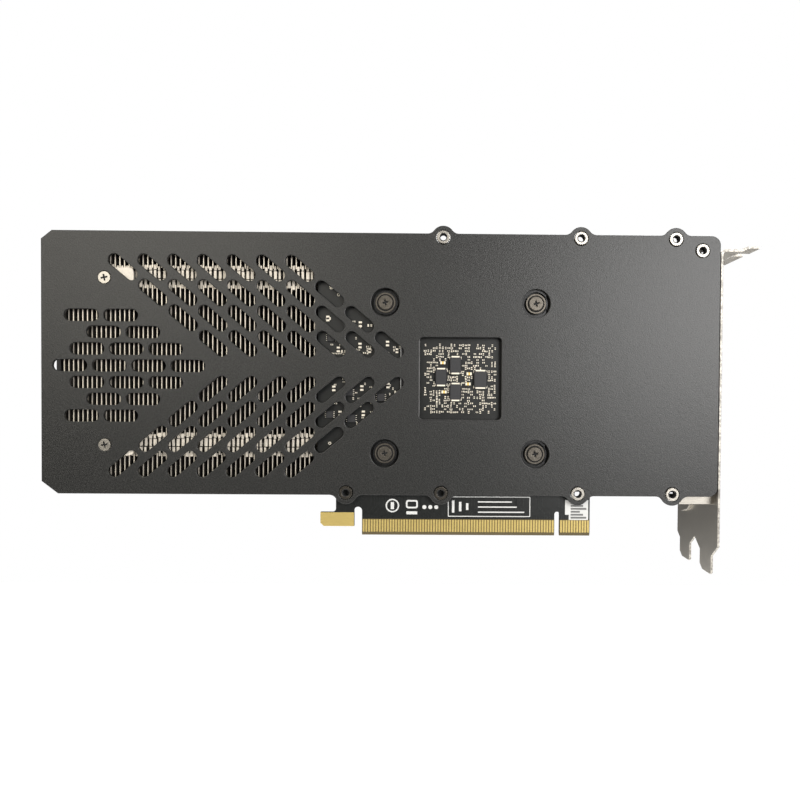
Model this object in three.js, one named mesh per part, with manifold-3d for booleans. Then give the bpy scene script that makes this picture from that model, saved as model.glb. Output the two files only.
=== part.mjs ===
// Two-fan graphics card: back plate, circuit board, slot bracket, heatsink, shroud and fans.
// Millimetres. +X runs along the card towards the slot bracket, +Z away from the edge
// connector and +Y from the back plate towards the fans. The origin is on the bottom face of
// the edge connector's long contact section, at its middle, in the board's middle plane.

import * as THREE from 'three';
import { mergeVertices } from 'three/addons/utils/BufferGeometryUtils.js';
import Module from 'manifold-3d';

const wasm = await Module();
wasm.setup();

// ---- Driving dimensions ----------------------------------------------------------------

// Circuit board and its edge connector
const BOARD_THICK = 1.57;
const EDGE_LONG = 71.2;
const KEY_WIDTH = 1.9;
const EDGE_SHORT = 11.2;
const EDGE_BEVEL = 1.0;
const EDGE_TIP = 0.77;
const KEY_TOP = 8.9;
const HOOK_GAP = 2.94;
const HOOK_LENGTH = 12.4;
const HOOK_BOTTOM = 3.2;
const HOOK_TOP = 8.3;
const HOOK_NECK = 6.7;
const HOOK_CHAMFER = 1.2;
const BOARD_LEFT = -50.6;
const BOARD_DROP = 2.9;
const BOARD_RISE = 0.5;
const BOARD_CORNER_ROUND = 2.0;
const NECK_ROUND = 1.5;
const SHOULDER_ROUND = 1.0;

// Back plate
const PLATE_LENGTH = 246.7;
const PLATE_BOTTOM = 15.1;
const PLATE_HEIGHT = 95.4;
const PLATE_THICK = 1.2;
const PLATE_STAND_OFF = 1.415;
const TOP_CHAMFER = [3.9, 3.1];
const BOTTOM_CHAMFER = [5.9, 4.5];
const CORNER_ROUND = 3.4;
const EAR_RADIUS = 4.2;
const EAR_FILLET = 3.0;
const NUT_INSET_TOP = 1.35;
const NUT_INSET_BOTTOM = 0.85;
const TOP_NUTS_FROM_BRACKET = [101.5, 51.3, 16.6];
const BOTTOM_NUTS_FROM_BRACKET = [136.5, 101.8, 51.7, 16.95];
const CORNER_NUT = [6.85, 5.4];
const WINDOW_SIZE = 30.0;
const WINDOW_ROUND = 1.4;

// Vent slots in the back plate
const SLOT_LENGTH = 12.45;
const SLOT_WIDTH = 4.4;
const SLOT_MID_ABOVE_BOTTOM = 46.65;
const ROW_PITCH = 6.07;
const COLUMN_PITCH = 14.18;
const STRAIGHT_ROWS = [[4, 10.3], [3, 16.45], [2, 22.45], [2, 14.45]];
const SLANT_ROWS = 4;
const SLANTS_PER_ROW = 7;
const SLANT_START = 29.4;
const SLANT_PITCH = 10.65;
const SLANT_SHIFT = 10.885;
const SLANT_FIRST_RISE = 8.26;
const SLANT_ROW_RISE = 9.14;
const SLANT_ANGLE = 40;
const SLOT_LAND = 4.0;

// Fasteners
const NUT_RADIUS = 2.45;
const NUT_BORE = 1.2;
const NUT_PROUD = 0.35;
const SMALL_HEAD_RADIUS = 2.2;
const SMALL_HEAD_DEPTH = 0.6;
const SMALL_HEAD_PROUD = 0.1;
const SMALL_SHANK = 1.2;
const SMALL_SHANK_LENGTH = 2.1;
const SMALL_SCREW_FROM_LEFT = 22.8;
const SMALL_SCREW_RISE = [17.85, 78.45];
const GPU_SCREW_PITCH = 55.0;
const GPU_HOLE_RADIUS = 5.2;
const GPU_HEAD_RADIUS = 2.95;
const GPU_HEAD_DEPTH = 1.3;
const GPU_HEAD_SUNK = 0.1;
const GPU_SHANK = 1.25;
const SPRING_RADIUS = 3.45;
const SPRING_WIRE = 0.3;
const SPRING_TURNS = 0.9;

// Insulating film under the back plate
const FILM_THICK = 0.25;
const FILM_LEFT = -21.6;
const FILM_RIGHT = 31.6;
const FILM_MARGIN_Z = 35.0;

// Slot bracket
const BRACKET_FACE = 95.25;
const BRACKET_THICK = 0.86;
const BRACKET_WIDTH = 38.74;
const BRACKET_NEAR = -3.3;
const BRACKET_DROP = 15.07;
const TAB_UNDERSIDE = 104.95;
const TAB_LENGTH = 13.7;
const TAB_STEP = 1.1;
const TAB_STEP_FROM = 6.5;
const TAB_STEP_RUN = 2.8;
const SLOT_PITCH = 20.32;
const TONGUE_FROM_EDGE = 5.34;
const TONGUE_WIDTH = 10.19;
const TONGUE_CLIP_NEAR = [0.8, 0.6];
const TONGUE_CLIP_FAR = [2.5, 1.9];
const TONGUE_ROOT_NEAR = -8.0;
const TONGUE_ROOT_FAR = -7.6;
const FACE_BOTTOM = [-3.45, -3.95, -5.5];
const SCREW_NOTCH = 4.4;
const SCREW_NOTCH_DEPTH = 6.2;
const FLANGE_LENGTH = 13.0;
const FLANGE_BOTTOM = 11.7;
const FLANGE_TOP = 18.6;
const VENT_COUNT = 11;
const VENT_FIRST = 14.2;
const VENT_PITCH = 8.0;
const VENT_LENGTH = 14.5;
const VENT_WIDTH = 4.6;
const VENT_SHIFT = 1.2;

// Video ports
const PORT_COUNT = 4;
const PORT_FIRST = 28.2;
const PORT_DROP = 15.8;
const PORT_TAB_LAND = 5.05;
const PORT_LENGTH = 19.0;
const PORT_HEIGHT = 5.6;
const PORT_WIDTH = 16.4;
const SMALL_PORT_WIDTH = 15.0;
const PORT_WALL = 0.5;
const PORT_PROUD = 0.8;
const PORT_CLIP = 1.8;
const INSERT_REAR = 6.0;
const INSERT_BLADE = 1.2;
const INSERT_INSET = 3.2;
const INSERT_SUNK = 1.5;

// Processor and what stands on the board
const GPU_X = 0.3;
const GPU_Z = 57.9;
const PACKAGE_SIZE = 37.5;
const PACKAGE_THICK = 1.6;
const DIE_LENGTH = 25.0;
const DIE_WIDTH = 16.5;
const DIE_THICK = 0.8;
const MEMORY_LENGTH = 14.0;
const MEMORY_WIDTH = 12.0;
const MEMORY_THICK = 1.1;
const MEMORY_GAP = 2.4;
const MEMORY_SPACING = 3.0;
const CHOKE_COUNT = 3;
const CHOKE_FROM_LEFT = 5.5;
const CHOKE_SIZE = 7.4;
const CHOKE_THICK = 4.0;
const CHOKE_PITCH = 11.5;
const CAPACITOR_RADIUS = 3.1;
const CAPACITOR_THICK = 5.0;
const CAPACITOR_GAP = 12.0;
const POWER_COLUMNS = 4;
const POWER_ROWS = 2;
const POWER_PITCH = 4.2;
const POWER_CELL = 3.4;
const POWER_CELL_ROUND = 0.5;
const POWER_WALL = 1.2;
const POWER_DEPTH = 12.0;
const POWER_FLOOR = 3.0;
const POWER_LEFT = -24.0;
const POWER_ROOM = 2.0;
const PIN_CARRIER = 2.0;
const PIN_SIZE = 1.1;
const PIN_LENGTH = 7.0;

// Heatsink
const COLD_PLATE_SIZE = 62.0;
const COLD_PLATE_THICK = 2.6;
const PIPE_RADIUS = 3.0;
const PIPE_COUNT = 4;
const PIPE_SIDES = 8;
const PIPE_STEPS = 24;
const PIPE_LEAD = 4.0;
const PIPE_BEND = 24.0;
const PIPE_STAGGER = 5.0;
const PIPE_END = 3.0;
const PIPE_SPACE = 1.2;
const PIPE_PITCH = 2 * PIPE_RADIUS + PIPE_SPACE;
const PIPE_MID_RISE = 1.0;
const PIPE_HEIGHTS = [30.7, 18.7];
const OUTER_PIPE_DEPTH = 3.2;
const FIN_THICK = 0.45;
const FIN_PITCH = 4.2;
const FIN_EDGE = 0.6;
const FIN_NEAR = -1.2;
const FIN_FROM_LEFT = 6.9;
const FIN_BOARD_GAP = 2.4;
const FIN_RIGHT = 72.0;
const END_TAB_LENGTH = 15.2;
const END_TAB_WIDTH = 7.8;
const END_TAB_OVERHANG = 5.3;
const END_TAB_ROUND = 1.6;

// Shroud and fans
const SHROUD_FRONT = 34.6;
const SHROUD_WALL = 1.8;
const SHROUD_INSET = 1.0;
const SHROUD_MARGIN = 0.5;
const SHROUD_RIM = 4.0;
const SHROUD_CHAMFER = 4.0;
const FAN_EDGE = 2.6;
const FAN_SIDE = 6.3;
const FAN_BETWEEN = 5.0;
const COLLAR_WALL = 1.6;
const FAN_FRAME_THICK = 2.5;
const FAN_FRAME_LIFT = 0.3;
const STRUT_COUNT = 4;
const STRUT_WIDTH = 4.0;
const RING_WIDTH = 2.0;
const MOTOR_BASE_INSET = 2.0;
const MOTOR_POST_GAP = 2.3;
const MOTOR_BORE = 1.95;
const MOTOR_FLOOR = 0.8;
const HUB_RADIUS = 17.0;
const HUB_WALL = 1.2;
const HUB_HEIGHT = 7.0;
const BLADE_COUNT = 11;
const BLADE_CHORD = 14.5;
const BLADE_PITCH = 26;
const BLADE_CAMBER = 1.3;
const BLADE_THICK = 0.9;
const SHAFT_RADIUS = 1.5;

// Clearances
const SEAT = 0.3;
const FIT = 0.15;
const END_GAP = 0.35;
const FAN_GAP = 0.6;
const TIP_GAP = 1.5;

// How far a cutting tool runs past a face, and how far joined blocks run into each other
const PAST = 1;
const OVERLAP = 0.5;

// ---- Places that follow from them ------------------------------------------------------

const BOARD_BACK = -BOARD_THICK / 2;
const BOARD_FACE = BOARD_THICK / 2;
const PLATE_INNER = BOARD_BACK - PLATE_STAND_OFF;
const PLATE_OUTER = PLATE_INNER - PLATE_THICK;
const PLATE_RIGHT = BRACKET_FACE - FIT;
const PLATE_LEFT = PLATE_RIGHT - PLATE_LENGTH;
const PLATE_TOP = PLATE_BOTTOM + PLATE_HEIGHT;
const BOARD_RIGHT = BRACKET_FACE - END_GAP;
const BOARD_TOP = PLATE_TOP - BOARD_DROP;
const EDGE_RIGHT = EDGE_LONG / 2 + KEY_WIDTH + EDGE_SHORT;
const NUT_TOP = PLATE_TOP - NUT_INSET_TOP;
const NUT_BOTTOM = PLATE_BOTTOM + NUT_INSET_BOTTOM;
const SMALL_SCREW_X = PLATE_LEFT + SMALL_SCREW_FROM_LEFT;
const SMALL_SCREWS = SMALL_SCREW_RISE.map((rise) => [SMALL_SCREW_X, PLATE_BOTTOM + rise]);
const GPU_SCREWS = [[-1, 1], [1, 1], [-1, -1], [1, -1]].map(
  ([sx, sz]) => [GPU_X + sx * GPU_SCREW_PITCH / 2, GPU_Z + sz * GPU_SCREW_PITCH / 2]);
const CORNER_NUT_PLACE = [BRACKET_FACE - CORNER_NUT[0], PLATE_TOP - CORNER_NUT[1]];
const TOP_NUTS = TOP_NUTS_FROM_BRACKET.map((d) => [BRACKET_FACE - d, NUT_TOP]);
const BOTTOM_NUTS = BOTTOM_NUTS_FROM_BRACKET.map((d) => [BRACKET_FACE - d, NUT_BOTTOM]);
const NUTS = [...TOP_NUTS, CORNER_NUT_PLACE, ...BOTTOM_NUTS];
const BRACKET_OUTER = BRACKET_FACE + BRACKET_THICK;
const BRACKET_FAR = BRACKET_NEAR + BRACKET_WIDTH;
const DIE_TOP = BOARD_FACE + PACKAGE_THICK + DIE_THICK;
const COLD_PLATE_TOP = DIE_TOP + COLD_PLATE_THICK;
const PIPE_DEPTH = COLD_PLATE_TOP + FIT + PIPE_RADIUS;
const FRAME_NEAR = SHROUD_FRONT - SHROUD_WALL - FAN_GAP - HUB_HEIGHT - FAN_GAP - FAN_FRAME_THICK;
const FRAME_FAR = FRAME_NEAR + FAN_FRAME_THICK;
const HUB_NEAR = FRAME_FAR + FAN_GAP;
const HUB_FAR = HUB_NEAR + HUB_HEIGHT;
const FIN_FAR = FRAME_NEAR - FAN_FRAME_LIFT;
const SHROUD_LEFT = PLATE_LEFT + SHROUD_INSET;
const SHROUD_RIGHT = BRACKET_FACE - END_GAP;
const SHROUD_BOTTOM = PLATE_BOTTOM + SHROUD_MARGIN;
const SHROUD_TOP = PLATE_TOP - SHROUD_MARGIN;
const FIN_LEFT = PLATE_LEFT + FIN_FROM_LEFT;
const FIN_BOTTOM = SHROUD_BOTTOM + SHROUD_WALL + SEAT;
const FIN_TOP = SHROUD_TOP - SHROUD_WALL - SEAT;
const FAN_Z = (SHROUD_BOTTOM + SHROUD_TOP) / 2;
const FAN_OPENING = Math.min(
  (SHROUD_TOP - SHROUD_BOTTOM) / 2 - FAN_EDGE,
  (GPU_X - SHROUD_LEFT - FAN_SIDE - FAN_BETWEEN) / 3);
const RIGHT_FAN_X = GPU_X;
const LEFT_FAN_X = SHROUD_LEFT + FAN_SIDE + FAN_OPENING;
const SLANT_LIMIT = GPU_X - WINDOW_SIZE / 2 - SLOT_LENGTH / 2 - SLOT_LAND;
const PORT_LAST = Math.min(SHROUD_TOP, TAB_UNDERSIDE + PORT_TAB_LAND) - PORT_DROP;
const PORT_PITCH = (PORT_LAST - PORT_FIRST) / (PORT_COUNT - 1);
const POWER_WIDTH = POWER_COLUMNS * POWER_PITCH + 2 * POWER_WALL;
const POWER_FAR = BOARD_FACE + POWER_ROWS * POWER_PITCH + 2 * POWER_WALL;
const RIGHT_FIN_NEAR = PIPE_DEPTH + PIPE_RADIUS + SEAT;

// ---- Drawing helpers -------------------------------------------------------------------

// Points on a round stretch from one angle to another, in degrees.
function arc(cx, cy, radius, from, to, steps) {
  return Array.from({ length: steps + 1 }, (_, i) => {
    const angle = THREE.MathUtils.degToRad(from + (to - from) * i / steps);
    return [cx + radius * Math.cos(angle), cy + radius * Math.sin(angle)];
  });
}

const circle = (cx, cy, radius, sides) => arc(cx, cy, radius, 0, 360, sides).slice(0, -1);

function roundedBox(x0, y0, x1, y1, radius, steps = 2) {
  return [
    ...arc(x1 - radius, y0 + radius, radius, -90, 0, steps),
    ...arc(x1 - radius, y1 - radius, radius, 0, 90, steps),
    ...arc(x0 + radius, y1 - radius, radius, 90, 180, steps),
    ...arc(x0 + radius, y0 + radius, radius, 180, 270, steps),
  ];
}

const box2 = (x0, y0, x1, y1) => [[x0, y0], [x1, y0], [x1, y1], [x0, y1]];

// A slot with round ends, turned by an angle in degrees.
function stadium(cx, cy, length, width, angle, steps = 3) {
  const reach = (length - width) / 2;
  const turn = THREE.MathUtils.degToRad(angle);
  const dx = reach * Math.cos(turn);
  const dy = reach * Math.sin(turn);
  return [
    ...arc(cx + dx, cy + dy, width / 2, angle - 90, angle + 90, steps),
    ...arc(cx - dx, cy - dy, width / 2, angle + 90, angle + 270, steps),
  ];
}

function shapeOf(points, holes = []) {
  const vector = ([x, y]) => new THREE.Vector2(x, y);
  const shape = new THREE.Shape(points.map(vector));
  holes.forEach((hole) => shape.holes.push(new THREE.Path(hole.map(vector))));
  return shape;
}

const extrude = (points, holes, depth) =>
  new THREE.ExtrudeGeometry(shapeOf(points, holes), { depth, bevelEnabled: false });

// An outline in (x, z), solid from y0 to y1.
function alongY(points, y0, y1, holes = []) {
  return extrude(points, holes, y1 - y0).rotateX(Math.PI / 2).translate(0, y1, 0);
}

// An outline in (y, z), solid from x0 to x1.
function alongX(points, x0, x1, holes = []) {
  const turn = new THREE.Matrix4().makeBasis(
    new THREE.Vector3(0, 1, 0), new THREE.Vector3(0, 0, 1), new THREE.Vector3(1, 0, 0));
  return extrude(points, holes, x1 - x0).applyMatrix4(turn).translate(x0, 0, 0);
}

// An outline in (x, y), solid from z0 to z1.
function alongZ(points, z0, z1, holes = []) {
  return extrude(points, holes, z1 - z0).translate(0, 0, z0);
}

function block(x0, y0, z0, x1, y1, z1) {
  return new THREE.BoxGeometry(x1 - x0, y1 - y0, z1 - z0)
    .translate((x0 + x1) / 2, (y0 + y1) / 2, (z0 + z1) / 2);
}

// A round bar along Y.
function rod(x, z, radius, y0, y1, sides = 16) {
  return new THREE.CylinderGeometry(radius, radius, y1 - y0, sides)
    .translate(x, (y0 + y1) / 2, z);
}

// ---- Joining and cutting ---------------------------------------------------------------

function toSolid(geometry) {
  const bare = geometry.clone();
  bare.deleteAttribute('normal');
  bare.deleteAttribute('uv');
  const merged = mergeVertices(bare, 1e-4);
  return new wasm.Manifold(new wasm.Mesh({
    numProp: 3,
    vertProperties: Float32Array.from(merged.attributes.position.array),
    triVerts: Uint32Array.from(merged.index.array),
  }));
}

function toGeometry(solid) {
  const mesh = solid.getMesh();
  const geometry = new THREE.BufferGeometry();
  geometry.setAttribute('position', new THREE.BufferAttribute(mesh.vertProperties, 3));
  geometry.setIndex(new THREE.BufferAttribute(mesh.triVerts, 1));
  geometry.computeVertexNormals();
  return geometry;
}

// Cutting tools that pass through a sheet lying between y0 and y1.
const throughY = (outlines, y0, y1) => outlines.map((o) => alongY(o, y0 - PAST, y1 + PAST));

const combine = (first, others, how) =>
  toGeometry(others.reduce((solid, other) => solid[how](toSolid(other)), toSolid(first)));
const join = (first, ...others) => combine(first, others, 'add');
const cut = (first, ...others) => combine(first, others, 'subtract');

// ---- Finishes --------------------------------------------------------------------------

const finish = (color, roughness, metalness) => () =>
  new THREE.MeshStandardMaterial({ color, roughness, metalness });

const darkCoat = finish(0x3b3b3b, 0.55, 0.4);
const blackFilm = finish(0x101010, 0.35, 0.0);
const boardMask = finish(0x1a1c1b, 0.45, 0.0);
const nickel = finish(0xb9b3a6, 0.3, 1.0);
const copper = finish(0xb87850, 0.35, 1.0);
const aluminium = finish(0xc9c4b8, 0.4, 1.0);
const blackPlastic = finish(0x161616, 0.6, 0.0);
const greyPlastic = finish(0x2a2a2c, 0.5, 0.0);
const chipBlack = finish(0x1d1d1f, 0.5, 0.0);
const ferrite = finish(0x4a4a4c, 0.6, 0.1);
const gold = finish(0xc6a24c, 0.3, 1.0);

// ---- Back plate and film ---------------------------------------------------------------

// One round ear on a straight edge. The travel is 0 on the bottom edge and 180 on the top.
function ear(cx, cz, edge, travel) {
  const side = travel === 0 ? 1 : -1;
  const rise = Math.abs(cz - edge);
  const reach = Math.sqrt((EAR_RADIUS + EAR_FILLET) ** 2 - (rise + EAR_FILLET) ** 2);
  const bend = THREE.MathUtils.radToDeg(Math.atan2(rise + EAR_FILLET, reach));
  const filletZ = edge - side * EAR_FILLET;
  return [
    ...arc(cx - side * reach, filletZ, EAR_FILLET, 90 + travel, bend + travel, 3),
    ...arc(cx, cz, EAR_RADIUS, 180 + bend + travel, 360 - bend + travel, 8).slice(1, -1),
    ...arc(cx + side * reach, filletZ, EAR_FILLET, 180 - bend + travel, 90 + travel, 3),
  ];
}

function plateOutline() {
  const round = CORNER_ROUND;
  return [
    [PLATE_LEFT, PLATE_BOTTOM + BOTTOM_CHAMFER[1]],
    [PLATE_LEFT + BOTTOM_CHAMFER[0], PLATE_BOTTOM],
    ...BOTTOM_NUTS.flatMap(([x, z]) => ear(x, z, PLATE_BOTTOM, 0)),
    ...arc(PLATE_RIGHT - round, PLATE_BOTTOM + round, round, -90, 0, 4),
    ...arc(PLATE_RIGHT - round, PLATE_TOP - round, round, 0, 90, 4),
    ...[...TOP_NUTS].reverse().flatMap(([x, z]) => ear(x, z, PLATE_TOP, 180)),
    [PLATE_LEFT + TOP_CHAMFER[0], PLATE_TOP],
    [PLATE_LEFT, PLATE_TOP - TOP_CHAMFER[1]],
  ];
}

function straightSlots(mid) {
  return STRAIGHT_ROWS.flatMap(([count, start], row) => {
    const sides = row === 0 ? [0] : [row, -row];
    return sides.flatMap((step) => Array.from({ length: count }, (_, i) => stadium(
      PLATE_LEFT + start + i * COLUMN_PITCH, mid + step * ROW_PITCH, SLOT_LENGTH, SLOT_WIDTH, 0)));
  });
}

function slantedSlots(mid) {
  const slots = [];
  for (const side of [1, -1]) {
    for (let row = 0; row < SLANT_ROWS; row += 1) {
      const rise = SLANT_FIRST_RISE + (SLANT_ROWS - 1 - row) * SLANT_ROW_RISE;
      for (let i = 0; i < SLANTS_PER_ROW; i += 1) {
        const x = PLATE_LEFT + SLANT_START + row * SLANT_SHIFT + i * SLANT_PITCH;
        if (x < SLANT_LIMIT) {
          slots.push(stadium(x, mid + side * rise, SLOT_LENGTH, SLOT_WIDTH, -side * SLANT_ANGLE));
        }
      }
    }
  }
  return slots;
}

const windowOutline = (margin) => {
  const half = WINDOW_SIZE / 2 + margin;
  return roundedBox(GPU_X - half, GPU_Z - half, GPU_X + half, GPU_Z + half, WINDOW_ROUND, 3);
};

function backPlate() {
  const mid = PLATE_BOTTOM + SLOT_MID_ABOVE_BOTTOM;
  const holes = [
    ...straightSlots(mid),
    ...slantedSlots(mid),
    windowOutline(0),
    ...GPU_SCREWS.map(([x, z]) => circle(x, z, GPU_HOLE_RADIUS, 20)),
    ...NUTS.map(([x, z]) => circle(x, z, NUT_RADIUS + SEAT, 12)),
    ...SMALL_SCREWS.map(([x, z]) => circle(x, z, SMALL_SHANK + SEAT, 10)),
  ];
  const sinks = SMALL_SCREWS.map(([x, z]) => rod(
    x, z, SMALL_HEAD_RADIUS + SEAT, PLATE_OUTER - PAST, PLATE_OUTER + SMALL_HEAD_DEPTH, 12));
  return cut(alongY(plateOutline(), PLATE_OUTER, PLATE_INNER),
    ...throughY(holes, PLATE_OUTER, PLATE_INNER), ...sinks);
}

function insulatingFilm() {
  const springRoom = SPRING_RADIUS + SPRING_WIRE + 2 * SEAT;
  const holes = [windowOutline(SEAT), ...GPU_SCREWS.map(([x, z]) => circle(x, z, springRoom, 14))];
  const outline = box2(FILM_LEFT, GPU_Z - FILM_MARGIN_Z, FILM_RIGHT, GPU_Z + FILM_MARGIN_Z);
  const far = PLATE_INNER + FILM_THICK;
  return cut(alongY(outline, PLATE_INNER, far), ...throughY(holes, PLATE_INNER, far));
}

// ---- Circuit board ---------------------------------------------------------------------

function boardOutline() {
  const hookRight = -EDGE_LONG / 2 - HOOK_GAP;
  const hookLeft = hookRight - HOOK_LENGTH;
  const neck = hookRight - HOOK_NECK;
  const low = PLATE_BOTTOM + BOARD_RISE;
  const shoulder = low + NECK_ROUND;
  const cornerRound = BOARD_CORNER_ROUND;
  const corner = CORNER_NUT_PLACE;
  const keyMid = EDGE_LONG / 2 + KEY_WIDTH / 2;
  return [
    [hookLeft + HOOK_CHAMFER, HOOK_BOTTOM],
    [hookRight, HOOK_BOTTOM],
    ...arc(hookRight + HOOK_GAP / 2, KEY_TOP, HOOK_GAP / 2, 180, 0, 4),
    [hookRight + HOOK_GAP, EDGE_BEVEL],
    [EDGE_LONG / 2, EDGE_BEVEL],
    ...arc(keyMid, KEY_TOP - KEY_WIDTH / 2, KEY_WIDTH / 2, 180, 0, 4),
    [keyMid + KEY_WIDTH / 2, EDGE_BEVEL],
    [EDGE_RIGHT, EDGE_BEVEL],
    ...arc(EDGE_RIGHT + cornerRound, low - cornerRound, cornerRound, 180, 90, 3),
    [BOARD_RIGHT, low],
    [BOARD_RIGHT, corner[1] - EAR_RADIUS],
    [corner[0] - EAR_RADIUS, corner[1] - EAR_RADIUS],
    [corner[0] - EAR_RADIUS, BOARD_TOP],
    [BOARD_LEFT, BOARD_TOP],
    [BOARD_LEFT, shoulder],
    ...arc(neck - SHOULDER_ROUND, shoulder - SHOULDER_ROUND, SHOULDER_ROUND, 90, 0, 3),
    ...arc(neck - NECK_ROUND, HOOK_TOP + NECK_ROUND, NECK_ROUND, 0, -90, 3),
    [hookLeft, HOOK_TOP],
    [hookLeft, HOOK_BOTTOM + HOOK_CHAMFER],
  ];
}

// The bevelled strip along the bottom of one contact section.
function edgeStrip(x0, x1) {
  const tip = EDGE_TIP / 2;
  return alongX([
    [-tip, 0], [tip, 0], [BOARD_FACE, EDGE_BEVEL], [BOARD_FACE, 2 * EDGE_BEVEL],
    [BOARD_BACK, 2 * EDGE_BEVEL], [BOARD_BACK, EDGE_BEVEL],
  ], x0, x1);
}

function circuitBoard() {
  const holes = [
    ...BOTTOM_NUTS.map(([x, z]) => circle(x, z, NUT_RADIUS, 12)),
    ...GPU_SCREWS.map(([x, z]) => circle(x, z, GPU_SHANK + SEAT, 12)),
  ];
  const board = join(
    alongY(boardOutline(), BOARD_BACK, BOARD_FACE),
    edgeStrip(-EDGE_LONG / 2, EDGE_LONG / 2),
    edgeStrip(EDGE_LONG / 2 + KEY_WIDTH, EDGE_RIGHT));
  return cut(board, ...throughY(holes, BOARD_BACK, BOARD_FACE));
}

// ---- Slot bracket and ports ------------------------------------------------------------

function tongue(start) {
  const end = start + TONGUE_WIDTH;
  const tip = -BRACKET_DROP;
  return [
    [start, TONGUE_ROOT_NEAR],
    [start, tip + TONGUE_CLIP_NEAR[1]],
    [start + TONGUE_CLIP_NEAR[0], tip],
    [end - TONGUE_CLIP_FAR[0], tip],
    [end, tip + TONGUE_CLIP_FAR[1]],
    [end, TONGUE_ROOT_FAR],
  ];
}

function bracketOutline() {
  const first = BRACKET_NEAR + TONGUE_FROM_EDGE;
  const second = first + SLOT_PITCH;
  return [
    [BRACKET_NEAR, FACE_BOTTOM[0]],
    ...tongue(first),
    [(first + TONGUE_WIDTH + second) / 2, FACE_BOTTOM[1]],
    ...tongue(second),
    [BRACKET_FAR, FACE_BOTTOM[2]],
    [BRACKET_FAR, TAB_UNDERSIDE + BRACKET_THICK],
    [BRACKET_NEAR, TAB_UNDERSIDE + BRACKET_THICK],
  ];
}

const portWidth = (i) => (i === PORT_COUNT - 1 ? SMALL_PORT_WIDTH : PORT_WIDTH);
const portMiddle = (i) => PORT_FIRST + i * PORT_PITCH;

// A port's outline in (y, z): a box with two corners cut off.
function portOutline(i, grow) {
  const y0 = BOARD_FACE - grow;
  const y1 = BOARD_FACE + PORT_HEIGHT + grow;
  const z0 = portMiddle(i) - portWidth(i) / 2 - grow;
  const z1 = portMiddle(i) + portWidth(i) / 2 + grow;
  const clip = PORT_CLIP;
  return i === PORT_COUNT - 1
    ? [[y0, z0 + clip], [y0 + clip, z0], [y1, z0], [y1, z1], [y0 + clip, z1], [y0, z1 - clip]]
    : [[y0, z0], [y1, z0], [y1, z1 - clip], [y1 - clip, z1], [y0, z1]];
}

function bracketVents() {
  const mid = BRACKET_NEAR + TONGUE_FROM_EDGE + SLOT_PITCH + TONGUE_WIDTH / 2 - VENT_SHIFT;
  return Array.from({ length: VENT_COUNT }, (_, i) => stadium(
    mid, VENT_FIRST + i * VENT_PITCH, VENT_LENGTH, VENT_WIDTH, 0));
}

function slotBracket() {
  const holes = [
    ...Array.from({ length: PORT_COUNT }, (_, i) => portOutline(i, SEAT)),
    ...bracketVents(),
  ];
  const gates = holes.map((hole) => alongX(hole, BRACKET_FACE - PAST, BRACKET_OUTER + PAST));
  const face = cut(alongX(bracketOutline(), BRACKET_FACE, BRACKET_OUTER), ...gates);
  const stepFrom = BRACKET_OUTER + TAB_STEP_FROM;
  const stepTo = stepFrom + TAB_STEP_RUN;
  const tip = BRACKET_OUTER + TAB_LENGTH;
  const low = TAB_UNDERSIDE;
  const high = TAB_UNDERSIDE + TAB_STEP;
  const thick = BRACKET_THICK;
  const lead = thick * Math.tan(Math.atan2(TAB_STEP, TAB_STEP_RUN) / 2);
  const tab = alongY([
    [BRACKET_FACE, low], [stepFrom, low], [stepTo, high], [tip, high],
    [tip, high + thick], [stepTo - lead, high + thick],
    [stepFrom - lead, low + thick], [BRACKET_FACE, low + thick],
  ], BRACKET_NEAR, BRACKET_FAR);
  const notches = [0, 1].map((i) => {
    const y = BRACKET_NEAR + TONGUE_FROM_EDGE + TONGUE_WIDTH / 2 + i * SLOT_PITCH;
    const end = tip - SCREW_NOTCH_DEPTH;
    return alongZ([
      [tip + PAST, y - SCREW_NOTCH / 2], [tip + PAST, y + SCREW_NOTCH / 2],
      ...arc(end + SCREW_NOTCH / 2, y, SCREW_NOTCH / 2, 90, 270, 6),
    ], low - PAST, high + thick + PAST);
  });
  const flange = block(
    BRACKET_FACE - FLANGE_LENGTH, BOARD_FACE, FLANGE_BOTTOM,
    BRACKET_FACE + BRACKET_THICK / 2, BOARD_FACE + BRACKET_THICK, FLANGE_TOP);
  return join(face, cut(tab, ...notches), flange);
}

const portBack = BRACKET_OUTER + PORT_PROUD - PORT_LENGTH;
const portMouth = BRACKET_OUTER + PORT_PROUD;

function portShell(i) {
  const body = alongX(portOutline(i, 0), portBack, portMouth);
  const hollow = alongX(portOutline(i, -PORT_WALL), portBack + PORT_WALL, portMouth + PAST);
  return cut(body, hollow);
}

// The insulator in a port: a block at the back and a blade that carries the contacts.
function portInsert(i) {
  const middle = BOARD_FACE + PORT_HEIGHT / 2;
  const half = portWidth(i) / 2 - INSERT_INSET;
  const rear = portBack + PORT_WALL + FIT;
  return join(
    alongX(portOutline(i, -PORT_WALL - FIT), rear, rear + INSERT_REAR),
    block(rear + INSERT_REAR - OVERLAP, middle - INSERT_BLADE / 2, portMiddle(i) - half,
      portMouth - INSERT_SUNK, middle + INSERT_BLADE / 2, portMiddle(i) + half));
}

// ---- Parts on the board ----------------------------------------------------------------

function gpuPackage() {
  const half = PACKAGE_SIZE / 2;
  return join(
    block(GPU_X - half, BOARD_FACE, GPU_Z - half, GPU_X + half, BOARD_FACE + PACKAGE_THICK,
      GPU_Z + half),
    block(GPU_X - DIE_LENGTH / 2, BOARD_FACE + PACKAGE_THICK / 2, GPU_Z - DIE_WIDTH / 2,
      GPU_X + DIE_LENGTH / 2, DIE_TOP, GPU_Z + DIE_WIDTH / 2));
}

const chip = (x, z, width, height, thick) => block(
  x - width / 2, BOARD_FACE, z - height / 2, x + width / 2, BOARD_FACE + thick, z + height / 2);

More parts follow.
